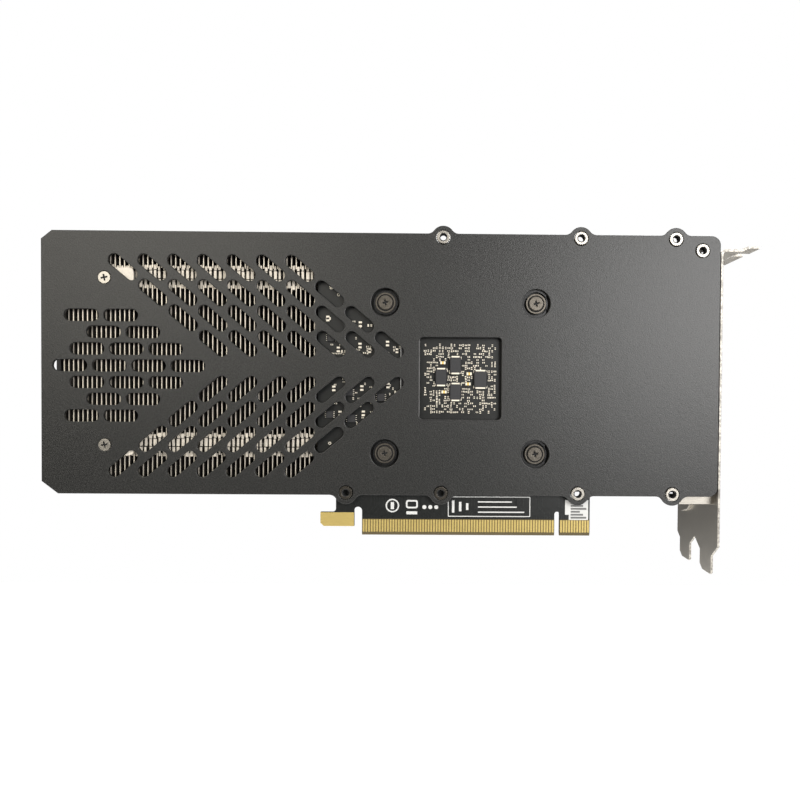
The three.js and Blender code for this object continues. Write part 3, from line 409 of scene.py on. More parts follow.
def rounded_box(x0, y0, x1, y1, radius, steps=6):
    """A rectangle with round corners."""
    return [
        *arc(x1 - radius, y0 + radius, radius, -90, 0, steps),
        *arc(x1 - radius, y1 - radius, radius, 0, 90, steps),
        *arc(x0 + radius, y1 - radius, radius, 90, 180, steps),
        *arc(x0 + radius, y0 + radius, radius, 180, 270, steps),
    ]


def stadium(cx, cy, span, width, angle, steps=12):
    """A slot with round ends, turned by an angle in degrees."""
    reach = (span - width) / 2
    dx = reach * math.cos(math.radians(angle))
    dy = reach * math.sin(math.radians(angle))
    return [
        *arc(cx + dx, cy + dy, width / 2, angle - 90, angle + 90, steps),
        *arc(cx - dx, cy - dy, width / 2, angle + 90, angle + 270, steps),
    ]


# ---- Mesh building -------------------------------------------------------------------------

WELD = 1e-4
SQUARE_TO_AXIS = 0.99999
LEAST_FOLD = math.radians(4)


def at(axis, a, b, depth):
    """A point from two outline coordinates and a depth along an axis."""
    return {"X": (depth, a, b), "Y": (a, depth, b), "Z": (a, b, depth)}[axis]


def curve_mesh(splines, cyclic, **settings):
    """Points and faces of a curve with thickness."""
    curve = bpy.data.curves.new("outline", "CURVE")
    for key, value in settings.items():
        setattr(curve, key, value)
    for points in splines:
        spline = curve.splines.new("POLY")
        spline.points.add(len(points) - 1)
        for place, point in zip(spline.points, points):
            place.co = (*point, 1) if len(point) == 3 else (*point, 0, 1)
        spline.use_cyclic_u = cyclic
    holder = bpy.data.objects.new("outline", curve)
    mesh = bpy.data.meshes.new_from_object(holder)
    welded = bmesh.new()
    welded.from_mesh(mesh)
    bmesh.ops.remove_doubles(welded, verts=welded.verts, dist=WELD)
    welded.verts.index_update()
    points = [vertex.co.copy() for vertex in welded.verts]
    faces = [[vertex.index for vertex in face.verts] for face in welded.faces]
    welded.free()
    bpy.data.objects.remove(holder)
    bpy.data.curves.remove(curve)
    bpy.data.meshes.remove(mesh)
    return points, faces


class Shape:
    """Closed bodies in millimetres, gathered into one piece."""

    def __init__(self):
        self.points = []
        self.faces = []
        self.marks = []

    def add(self, points, faces, finish=0):
        """Add a body, its faces numbered from its own first point."""
        first = len(self.points)
        self.points.extend(Vector(point) for point in points)
        self.faces.extend([first + i for i in face] for face in faces)
        self.marks.extend([finish] * len(faces))

    def take(self, other, matrix):
        """Add another shape, moved by a matrix."""
        first = len(self.points)
        self.points.extend(matrix @ point for point in other.points)
        self.faces.extend([first + i for i in face] for face in other.faces)
        self.marks.extend(other.marks)

    def box(self, low, high, finish=0, bevel=0.0):
        """A block between two corners, with flat bevels if asked."""
        low, high = Vector(low), Vector(high)
        half, centre = (high - low) / 2, (high + low) / 2
        signs = [(x, y, z) for x in (-1, 1) for y in (-1, 1) for z in (-1, 1)]
        if not bevel:
            points = [centre + Vector(s) * half for s in signs]
            sides = [
                (0, 1, 3, 2), (4, 6, 7, 5), (0, 4, 5, 1), (2, 3, 7, 6), (0, 2, 6, 4), (1, 5, 7, 3)]
            self.add(points, sides, finish)
            return
        points, index = [], {}
        for s in signs:
            for axis in range(3):
                index[s, axis] = len(points)
                points.append(centre + Vector([
                    s[i] * (half[i] - (0 if i == axis else bevel)) for i in range(3)]))
        faces = [[index[s, axis] for axis in range(3)] for s in signs]
        for axis in range(3):
            others = [i for i in range(3) if i != axis]
            for sign in (-1, 1):
                ring = []
                for a, b in ((-1, -1), (1, -1), (1, 1), (-1, 1)):
                    s = [0, 0, 0]
                    s[axis], s[others[0]], s[others[1]] = sign, a, b
                    ring.append(index[tuple(s), axis])
                faces.append(ring)
            for a in (-1, 1):
                for b in (-1, 1):
                    s, t = [0, 0, 0], [0, 0, 0]
                    s[others[0]], s[others[1]], s[axis] = a, b, -1
                    t[others[0]], t[others[1]], t[axis] = a, b, 1
                    faces.append([
                        index[tuple(s), others[0]], index[tuple(s), others[1]],
                        index[tuple(t), others[1]], index[tuple(t), others[0]]])
        self.add(points, faces, finish)

    def slab(self, axis, outlines, low, high, finish=0, bevel=0.0):
        """A flat sheet of the first outline with the others as holes."""
        points, faces = curve_mesh(
            outlines, True, dimensions="2D", fill_mode="BOTH", bevel_depth=bevel,
            extrude=(high - low) / 2 - bevel, offset=-bevel, bevel_resolution=1)
        depth = (low + high) / 2
        self.add([at(axis, p.x, p.y, depth + p.z) for p in points], faces, finish)

    def mark_sides(self, axis, finish):
        """Give another finish to the faces that turn away from an axis, numbered 0 to 2."""
        for index, face in enumerate(self.faces):
            a, b, c = (self.points[i] for i in face[:3])
            normal = (b - a).cross(c - b)
            if abs(normal[axis]) < 0.5 * normal.length:
                self.marks[index] = finish

    def turned(self, axis, centre, profile, sides=32, finish=0):
        """A turned body: a profile of (radius, depth), closed on the axis or on itself."""
        points, faces, rings = [], [], []
        for radius, depth in profile:
            if radius == 0:
                rings.append([len(points)] * sides)
                points.append(at(axis, *centre, depth))
            else:
                rings.append(list(range(len(points), len(points) + sides)))
                points.extend(at(axis, a, b, depth) for a, b in circle(*centre, radius, sides))
        pairs = list(zip(rings, rings[1:]))
        if profile[0][0] > 0:
            pairs.append((rings[-1], rings[0]))
        for near, far in pairs:
            for i in range(sides):
                j = (i + 1) % sides
                face = dict.fromkeys([near[i], near[j], far[j], far[i]])
                if len(face) > 2:
                    faces.append(list(face))
        self.add(points, faces, finish)

    def wire(self, points, radius, finish=0, resolution=3):
        """A round wire or pipe along points."""
        found = curve_mesh(
            [points], False, dimensions="3D", fill_mode="FULL", bevel_depth=radius,
            bevel_resolution=resolution, use_fill_caps=True)
        self.add(*found, finish)

    @staticmethod
    def flatten(mesh):
        """Mark the border of every face square to an axis sharp, so that it shades flat."""
        work = bmesh.new()
        work.from_mesh(mesh)
        for edge in work.edges:
            square = [max(abs(n) for n in face.normal) > SQUARE_TO_AXIS for face in edge.link_faces]
            if len(square) == 2 and any(square) and edge.calc_face_angle() > LEAST_FOLD:
                edge.smooth = False
        work.to_mesh(mesh)
        work.free()

    def piece(self, name, used, replaces=(), body="root", sharp=38):
        """Make the object, with its finishes, its body and the nodes that it stands for."""
        mesh = bpy.data.meshes.new(name)
        mesh.from_pydata([point * MM for point in self.points], [], self.faces)
        for key in used:
            mesh.materials.append(finishes[key])
        mesh.polygons.foreach_set("material_index", self.marks)
        work = bmesh.new()
        work.from_mesh(mesh)
        bmesh.ops.recalc_face_normals(work, faces=work.faces)
        work.to_mesh(mesh)
        work.free()
        mesh.shade_smooth()
        mesh.set_sharp_from_angle(angle=math.radians(sharp))
        self.flatten(mesh)
        thing = bpy.data.objects.new(name, mesh)
        bpy.context.scene.collection.objects.link(thing)
        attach(thing, body)
        if replaces:
            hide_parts(*replaces)
        return thing


# ---- Back plate ----------------------------------------------------------------------------

EAR_RADIUS = 4.2
EAR_FILLET = 3.0
PLATE_BOTTOM = BOTTOM_NUTS[0].z - 0.85
PLATE_TOP = TOP_NUTS[0].z + 1.35
SLOT_MIDDLE = PLATE_BOTTOM + 46.65
WINDOW_HALF = 15.0
STRAIGHT_ROWS = [(4, 10.3), (3, 16.45), (2, 22.45), (2, 14.45)]
GPU_HOLE = 5.2
NUT_HOLE = 2.6
PLATE_SCREW_HOLE = 2.35
FILM_HOLE = 4.35
CORNER_ROUND = 3.4
WINDOW_ROUND = 1.4
SLANT_START = 29.4
SLANT_FIRST = 8.26
SLANT_ANGLE = 40


def ear(cx, cz, edge, side):
    """One round ear on a straight edge; side is 1 on the bottom edge and -1 on the top."""
    travel = 0 if side == 1 else 180
    rise = abs(cz - edge)
    reach = math.sqrt((EAR_RADIUS + EAR_FILLET) ** 2 - (rise + EAR_FILLET) ** 2)
    bend = math.degrees(math.atan2(rise + EAR_FILLET, reach))
    fillet = edge - side * EAR_FILLET
    return [
        *arc(cx - side * reach, fillet, EAR_FILLET, 90 + travel, bend + travel, 8),
        *arc(cx, cz, EAR_RADIUS, 180 + bend + travel, 360 - bend + travel, 24)[1:-1],
        *arc(cx + side * reach, fillet, EAR_FILLET, 180 - bend + travel, 90 + travel, 8),
    ]


def plate_outline():
    """The plate's outer edge, from its lower left corner round to its upper left."""
    left, right, corner = PLATE_LOW.x, PLATE_HIGH.x, CORNER_ROUND
    points = [(left, PLATE_BOTTOM + 4.5), (left + 5.9, PLATE_BOTTOM)]
    for nut in BOTTOM_NUTS:
        points += ear(nut.x, nut.z, PLATE_BOTTOM, 1)
    points += arc(right - corner, PLATE_BOTTOM + corner, corner, -90, 0, 10)
    points += arc(right - corner, PLATE_TOP - corner, corner, 0, 90, 10)
    for nut in reversed(TOP_NUTS):
        points += ear(nut.x, nut.z, PLATE_TOP, -1)
    return points + [(left + 3.9, PLATE_TOP), (left, PLATE_TOP - 3.1)]


def vent_slots(sizes):
    """The straight slots at the left and the slanted ones that close in on the middle."""
    span, width = sizes.slot_length / MM, sizes.slot_width / MM
    left = PLATE_LOW.x
    slots = []
    for row, (count, start) in enumerate(STRAIGHT_ROWS):
        for step in {row, -row}:
            for i in range(count):
                slots.append(stadium(
                    left + start + i * sizes.column_pitch / MM,
                    SLOT_MIDDLE + step * sizes.row_pitch / MM, span, width, 0))
    limit = GPU.x - WINDOW_HALF - span / 2 - 4.0
    for side in (1, -1):
        for row in range(4):
            rise = SLANT_FIRST + (3 - row) * sizes.slant_rise / MM
            for i in range(7):
                x = left + SLANT_START + (row * sizes.slant_shift + i * sizes.slant_pitch) / MM
                if x < limit:
                    slots.append(
                        stadium(x, SLOT_MIDDLE + side * rise, span, width, -side * SLANT_ANGLE))
    return slots


def window(margin):
    """The square window over the processor, grown by a margin."""
    half = WINDOW_HALF + margin
    return rounded_box(GPU.x - half, GPU.z - half, GPU.x + half, GPU.z + half, WINDOW_ROUND)


class CARD_OT_back_plate(bpy.types.Operator):
    """Build the coated back plate and the insulating film under it"""

    bl_idname = "card.back_plate"
    bl_label = "Back plate"

    def execute(self, context):
        sizes = context.scene.card_sizes
        plate = Shape()
        holes = [
            *vent_slots(sizes),
            window(0),
            *[circle(s.x, s.z, GPU_HOLE, 64) for s in GPU_SCREWS],
            *[circle(n.x, n.z, NUT_HOLE, 40) for n in NUTS],
            *[circle(s.x, s.z, PLATE_SCREW_HOLE, 40) for s in PLATE_SCREWS],
        ]
        plate.slab("Y", [plate_outline(), *holes], PLATE_LOW.y, PLATE_HIGH.y, 0,
                   sizes.sheet_round / MM)
        plate.piece("plate_sheet", ["coat"], ["back_plate"])

        film = Shape()
        edge = rounded_box(FILM_LOW.x, FILM_LOW.z, FILM_HIGH.x, FILM_HIGH.z, 1.0)
        film.slab("Y", [edge, window(0.3), *[circle(s.x, s.z, FILM_HOLE, 48) for s in GPU_SCREWS]],
                  FILM_LOW.y, FILM_HIGH.y, 0, 0.05)
        # Two thin light strips in painted highlight: one along the window's left edge and one along the
        # film's left edge.
        for x, low, high in ((GPU.x - WINDOW_HALF - 0.05, GPU.z - 14.0, GPU.z + 14.6),
                             (FILM_LOW.x + 0.1, FILM_LOW.z + 1, FILM_HIGH.z - 1)):
            film.box((x - 0.14, FILM_LOW.y - 0.05, low), (x + 0.14, FILM_HIGH.y, high), 1, 0.04)
        film.piece("film_sheet", ["film", "film_edge"], ["insulating_film"])
        return {"FINISHED"}


# ---- Circuit board -------------------------------------------------------------------------

BOARD_PAST = 1.2
SCREW_BORE = 1.55
LONG_CONTACTS = 71
SHORT_CONTACTS = 11
EDGE_LONG = 71.2
KEY_WIDTH = 1.9
EDGE_SHORT = 11.2
EDGE_HALF = EDGE_LONG / 2
EDGE_RIGHT = EDGE_HALF + KEY_WIDTH + EDGE_SHORT
EDGE_BEVEL = 1.0
EDGE_TIP = 0.385
KEY_TOP = 8.9
HOOK_GAP = 2.94
HOOK_RIGHT = -EDGE_HALF - HOOK_GAP
HOOK_LEFT = HOOK_RIGHT - 12.4
HOOK_NECK = HOOK_RIGHT - 6.7
HOOK_BOTTOM = 3.2
HOOK_TOP = 8.3
BOARD_TOP = BOARD_HIGH.z


def board_outline():
    """The board's edge, from the hook's lower left corner round."""
    low = PLATE_BOTTOM + 0.5
    key = EDGE_HALF + KEY_WIDTH / 2
    left, right = BOARD_LOW.x - BOARD_PAST, BOARD_HIGH.x
    nut_left, nut_under = CORNER_NUT.x - EAR_RADIUS, CORNER_NUT.z - EAR_RADIUS
    return [
        (HOOK_LEFT + 1.2, HOOK_BOTTOM), (HOOK_RIGHT, HOOK_BOTTOM),
        *arc(HOOK_RIGHT + HOOK_GAP / 2, KEY_TOP, HOOK_GAP / 2, 180, 0, 16),
        (-EDGE_HALF, EDGE_BEVEL), (EDGE_HALF, EDGE_BEVEL),
        *arc(key, KEY_TOP - KEY_WIDTH / 2, KEY_WIDTH / 2, 180, 0, 16),
        (key + KEY_WIDTH / 2, EDGE_BEVEL), (EDGE_RIGHT, EDGE_BEVEL),
        *arc(EDGE_RIGHT + 2, low - 2, 2, 180, 90, 8),
        (right, low), (right, nut_under), (nut_left, nut_under), (nut_left, BOARD_TOP),
        (left, BOARD_TOP), (left, low + 1.5),
        *arc(HOOK_NECK - 1, low + 0.5, 1, 90, 0, 8),
        *arc(HOOK_NECK - 1.5, HOOK_TOP + 1.5, 1.5, 0, -90, 8),
        (HOOK_LEFT, HOOK_TOP), (HOOK_LEFT, HOOK_BOTTOM + 1.2),
    ]


def contact_places(sizes):
    """Middles of the contacts in the long section and in the short one."""
    pitch = sizes.contact_pitch / MM
    first_short = EDGE_HALF + KEY_WIDTH + 0.6
    long = [(i - LONG_CONTACTS // 2) * pitch for i in range(LONG_CONTACTS)]
    return long + [first_short + i * pitch for i in range(SHORT_CONTACTS)]


def track(shape, x, low, high, width, lean, rest):
    """A track that runs up from a contact, leans over and runs on."""
    bend = low + rest
    shift = lean * (high - bend) * 0.6
    turn = bend + abs(shift)
    half = width / 2
    outline = [(x - half, low), (x + half, low), (x + half, bend), (x + shift + half, turn),
               (x + shift + half, high), (x + shift - half, high), (x + shift - half, turn),
               (x - half, bend)]
    shape.slab("Y", [outline], BACK - 0.05, BACK + 0.05, 0, 0.0)


class CARD_OT_board(bpy.types.Operator):
    """Build the circuit board with its edge contacts, tracks, printed marks and label"""

    bl_idname = "card.board"
    bl_label = "Circuit board"

    def execute(self, context):
        sizes = context.scene.card_sizes
        self.board(sizes)
        self.tracks(sizes)
        self.marks()
        return {"FINISHED"}

    def board(self, sizes):
        """The board itself, the bare strip, the contacts on both faces and the hook."""
        core = Shape()
        holes = [circle(n.x, n.z, 2.4, 32) for n in BOTTOM_NUTS[2:]]
        holes += [circle(s.x, s.z, SCREW_BORE, 32) for s in GPU_SCREWS]
        core.slab("Y", [board_outline(), *holes], BACK, FACE, 0, 0.06)
        for left, right in ((-EDGE_HALF, EDGE_HALF), (EDGE_RIGHT - EDGE_SHORT, EDGE_RIGHT)):
            tip = [(-EDGE_TIP, 0), (EDGE_TIP, 0), (FACE, EDGE_BEVEL), (FACE, 2), (BACK, 2),
                   (BACK, EDGE_BEVEL)]
            core.slab("X", [tip], left, right, 1)
            for y in (-FACE, FACE):
                core.box((left, y - 0.006, EDGE_BEVEL), (right, y + 0.006, 6.0), 1)
        core.piece("board_core", ["mask", "laminate"], ["circuit_board"])

        contacts = Shape()
        half = sizes.contact_width / MM / 2
        for x in contact_places(sizes):
            for face in (-1, 1):
                y = face * FACE
                contacts.box((x - half, y - 0.035, 1.3), (x + half, y + 0.035, 5.75), 0, 0.02)
                slope = [(face * (EDGE_TIP + 0.03), 0.12), (face * (FACE + 0.03), 1.28),
                         (face * (FACE - 0.1), 1.28), (face * (EDGE_TIP - 0.1), 0.12)]
                contacts.slab("X", [slope], x - half * 0.9, x + half * 0.9)
        hook = [(HOOK_LEFT + 1.2, HOOK_BOTTOM), (HOOK_RIGHT, HOOK_BOTTOM), (HOOK_RIGHT, HOOK_TOP),
                (HOOK_LEFT, HOOK_TOP), (HOOK_LEFT, HOOK_BOTTOM + 1.2)]
        contacts.slab("Y", [hook], BACK - 0.04, FACE + 0.04, 0, 0.03)
        contacts.piece("edge_contacts", ["gold"])

    def tracks(self, sizes):
        """Tracks under the mask between the contacts and the plate."""
        seeded = random.Random(11)
        tracks = Shape()
        for x in contact_places(sizes):
            if seeded.random() < 0.8:
                inwards = -0.8 if x > 22 else 0.8 if x < -22 else seeded.choice((-0.3, 0.3))
                lean = -0.2 if x > EDGE_HALF else inwards
                track(tracks, x, 6.1, 14.8, 0.22, lean * seeded.uniform(0.7, 1.0),
                      seeded.uniform(0.4, 2.4))
        for i in range(16):
            x = HOOK_NECK + 1.2 + i * 0.55
            track(tracks, x, 10.6, 15.4, 0.2, 0.55, 0.3 + i * 0.12)
        tracks.piece("board_tracks", ["track"])

    def marks(self):
        """Plain printed marks: a ring, bars and a frame, with no lettering."""
        ink = Shape()
        low, high = BACK - 0.065, BACK - 0.04
        ink.slab("Y", [circle(-24.4, 10.9, 2.5), circle(-24.4, 10.9, 2.0)], low, high)
        ink.box((-25.0, low, 9.6), (-23.8, high, 12.2))
        ink.slab("Y", [rounded_box(-19.4, 9.9, -15.0, 13.0, 0.8),
                       rounded_box(-18.8, 10.5, -15.6, 12.4, 0.5)], low, high)
        ink.box((-19.2, low, 7.7), (-15.2, high, 8.8))
        for x in (-12.6, -10.4, -8.2):
            ink.slab("Y", [circle(x, 10.4, 0.75, 20)], low, high)
        ink.slab("Y", [rounded_box(-3.9, 6.9, 26.6, 14.4, 0.3),
                       rounded_box(-3.6, 7.2, 26.3, 14.1, 0.2)], low, high)
        for i, x in enumerate((-2.4, 0.2, 2.8)):
            ink.box((x, low, 8.4 + 0.5 * i), (x + 0.9, high, 12.9 - 0.5 * i))
        for row, end in enumerate((19.8, 21.6, 24.4)):
            z = 12.2 - row * 1.9
            ink.box((7.2, low, z), (end, high, z + 0.45))
        ink.piece("printed_marks", ["ink"])

        label = Shape()
        outline = [(40.9, 5.9), (48.1, 5.9), (48.1, 13.3), (39.5, 13.3), (39.5, 7.8), (40.9, 7.8)]
        label.slab("Y", [outline], BACK - 0.13, BACK - 0.03, 0, 0.03)
        for row in range(6):
            z = 6.4 + row * 1.1
            label.box((41.6, BACK - 0.14, z), (47.4 - row % 3 * 1.2, BACK - 0.12, z + 0.7), 1)
        label.piece("blank_label", ["ink", "faint_ink"])


# ---- Parts on the board --------------------------------------------------------------------

BLOCKS = [(-3.56, 0.58, 59.6, 66.1), (-8.83, -4.62, 55.15, 61.7), (-3.49, 0.66, 49.7, 56.3),
          (5.3, 10.1, 54.3, 61.1)]
AMBER_PARTS = [(-6.1, 63.7), (3.6, 59.7), (3.2, 56.0), (-5.6, 53.0)]
CLUSTERS = [(-48.4, -46.4, 90.6, 92.2), (-49.4, -47.6, 78.8, 80.4), (-41.0, -32.4, 76.4, 78.8),
            (-47.0, -42.0, 66.8, 69.8), (-39.2, -32.4, 67.2, 72.4), (-29.4, -22.4, 67.2, 74.0),
            (-50.0, -42.0, 50.0, 58.0), (-39.0, -32.0, 50.4, 58.0), (-29.8, -22.4, 52.0, 58.4),
            (-45.4, -42.4, 41.0, 48.6), (-37.6, -32.0, 41.2, 48.6)]
SMALL_CHIPS = [(-40.4, 52.6, 2.6), (-28.8, 50.8, 2.8), (-39.6, 43.0, 3.0), (-47.6, 44.4, 2.6),
               (-47.2, 72.6, 2.8)]
PART_PITCH = 1.07
TEST_RINGS = [(-47.6, 33.8), (-44.6, 88.4)]


def small_part(shape, x, z, span, width, height, upright, body=0):
    """A leadless part on the board's back: a body between two terminals."""
    end = span * 0.33
    for start, stop, finish, grow in (
            (-span / 2, -span / 2 + end, 1, 0.02), (span / 2 - end, span / 2, 1, 0.02),
            (-span / 2 + end, span / 2 - end, body, 0.0)):
        half = width / 2 + grow
        if upright:
            low, high = (x - half, z + start), (x + half, z + stop)
        else:
            low, high = (x + start, z - half), (x + stop, z + half)
        shape.box((low[0], BACK - height - grow, low[1]), (high[0], BACK, high[1]), finish)


def field(shape, seeded, x0, x1, z0, z1, share, blocked, body=0):
    """Rows of small parts over an area, leaving out those that a larger part covers."""
    columns, rows = round((x1 - x0) / PART_PITCH), round((z1 - z0) / PART_PITCH)
    for row in range(rows + 1):
        for column in range(columns + 1):
            x = x0 + column * PART_PITCH + seeded.uniform(-0.08, 0.08)
            z = z0 + row * PART_PITCH + seeded.uniform(-0.08, 0.08)
            upright = seeded.random() < 0.5
            size = seeded.choice(((0.84, 0.46), (0.94, 0.52), (0.76, 0.42)))
            kept = seeded.random() < share
            covered = any(a - 0.5 < x < b + 0.5 and c - 0.55 < z < d + 0.55 for a, b, c, d in blocked)
            if kept and not covered:
                small_part(shape, x, z, *size, 0.34, upright, body)


class CARD_OT_parts(bpy.types.Operator):
    """Build the small parts on the board's back and the chips on its face"""

    bl_idname = "card.parts"
    bl_label = "Parts on the board"

    def execute(self, context):
        self.back_parts()
        self.face_parts()
        return {"FINISHED"}

    def back_parts(self):
        """Capacitors and resistors in the window and behind the inner slots."""
        seeded = random.Random(5)
        small = Shape()
        ambers = [(x - 0.9, x + 0.9, z - 0.5, z + 0.5) for x, z in AMBER_PARTS]
        field(small, seeded, -12.6, 13.2, 45.6, 70.6, 0.55, BLOCKS + ambers)
        for x0, x1, z0, z1 in CLUSTERS:
            field(small, seeded, x0, x1, z0, z1, 0.16, [])
            centre = (x0 + x1) / 2 + seeded.uniform(-1, 1)
            small_part(small, centre, (z0 + z1) / 2, 2.0, 1.1, 0.7, True)
            small_part(small, x1 - 0.6, z0 + 0.8, 1.7, 0.9, 0.6, seeded.random() < 0.5)
        for x, z in AMBER_PARTS:
            small_part(small, x, z, 1.9, 1.0, 0.6, False, 2)
        for x0, x1, z0, z1 in BLOCKS:
            for low, high in ((z0, z0 + 0.45), (z1 - 0.45, z1)):
                small.box((x0 + 0.6, BACK - 1.6, low - 0.06), (x1 - 0.6, BACK, high + 0.06), 1, 0.06)
            for x in (x0, x1):
                for z in (z0 + 0.6, z1 - 0.6):
                    small.box((x - 0.18, BACK - 0.5, z - 0.45), (x + 0.18, BACK, z + 0.45), 1)
        small.piece("small_parts", ["ceramic", "solder", "amber"], sharp=30)

        bodies = Shape()
        for x0, x1, z0, z1 in BLOCKS:
            bodies.box((x0, BACK - 1.7, z0 + 0.35), (x1, BACK, z1 - 0.35), 0, 0.25)
        for x, z, size in SMALL_CHIPS:
            half = size / 2
            bodies.box((x - half, BACK - 0.9, z - half), (x + half, BACK, z + half), 0, 0.12)
            for i in range(4):
                for side in (-1, 1):
                    leg_x, leg_z = x + side * (half + 0.2), z - half + (i + 0.5) * size / 4
                    bodies.box((leg_x - 0.25, BACK - 0.3, leg_z - 0.1),
                               (leg_x + 0.25, BACK, leg_z + 0.1), 1)
        for x, z in TEST_RINGS:
            bodies.slab("Y", [circle(x, z, 0.55), circle(x, z, 0.3)], BACK - 0.06, BACK, 1)
        bodies.piece("back_chips", ["chip", "solder"], sharp=30)

    def face_parts(self):
        """Processor, memory, chokes and a can capacitor on the hidden face."""
        chips = Shape()
        low, high = corners("gpu_package")
        die_x, die_z = 12.5, 8.25
        chips.box(low, (high.x, high.y - 0.8, high.z), 0, 0.15)
        chips.box((GPU.x - die_x, high.y - 0.9, GPU.z - die_z),
                  (GPU.x + die_x, high.y, GPU.z + die_z), 1, 0.05)
        for side in (-1, 1):
            for i in range(14):
                x = GPU.x - 13 + i * 2
                chips.box((x, high.y - 0.8, GPU.z + side * 14.5 - 0.3),
                          (x + 0.6, high.y - 0.45, GPU.z + side * 14.5 + 0.3), 2)
        memory = [f"memory_chip_{i}" for i in range(1, 7)]
        for node in memory:
            chips.box(*corners(node), 0, 0.12)
        chokes = [f"power_choke_{i}" for i in range(1, 4)]
        for node in chokes:
            low, high = corners(node)
            chips.box(low, high, 3, 0.5)
            chips.box((low.x - 0.3, low.y, low.z + 2), (high.x + 0.3, low.y + 1.2, high.z - 2), 2, 0.1)
        chips.piece("face_chips", ["chip", "dark_nickel", "solder", "laminate"],
                    ["gpu_package", *memory, *chokes], sharp=30)
        can = Shape()
        low, high = corners("capacitor")
        spot, radius = middle("capacitor"), (high.x - low.x) / 2
        profile = [(0, low.y), (radius, low.y), (radius, low.y + 0.6), (radius * 0.9, low.y + 0.9),
                   (radius, low.y + 1.2), (radius, high.y - 0.4), (radius - 0.4, high.y), (0, high.y)]
        can.turned("Y", (spot.x, spot.z), profile)
        can.piece("can_capacitor", ["fin"], ["capacitor"])


# ---- Slot bracket and ports ----------------------------------------------------------------

PORTS = [f"video_port_{i}" for i in range(1, 5)]
FACE_NEAR = 95.25
THICK = 0.86
TAB_UNDER = 104.95
TONGUE_WIDTH = 10.19
TONGUE_PITCH = 20.32
FIRST_TONGUE = 5.34
NOTCH_DEPTH = 4.4
NOTCH_WIDTH = 4.4
VENT_COUNT = 11
VENT_PITCH = 8.0


def tongue(start):
    """One tongue below the bracket's face, in (y, z)."""
    end, tip = start + TONGUE_WIDTH, BRACKET_LOW.z
    return [(start, -8.0), (start, tip + 0.6), (start + 0.8, tip), (end - 2.5, tip),
            (end, tip + 1.9), (end, -7.6)]


def port_outline(index, grow):
    """A port's outline in (y, z), grown or shrunk."""
    low, high = corners(PORTS[index])
    y0, y1, z0, z1 = low.y - grow, high.y + grow, low.z - grow, high.z + grow
    clip = 1.8
    if index == 3:
        return [(y0, z0 + clip), (y0 + clip, z0), (y1, z0), (y1, z1), (y0 + clip, z1),
                (y0, z1 - clip)]
    return [(y0, z0), (y1, z0), (y1, z1 - clip), (y1 - clip, z1), (y0, z1)]


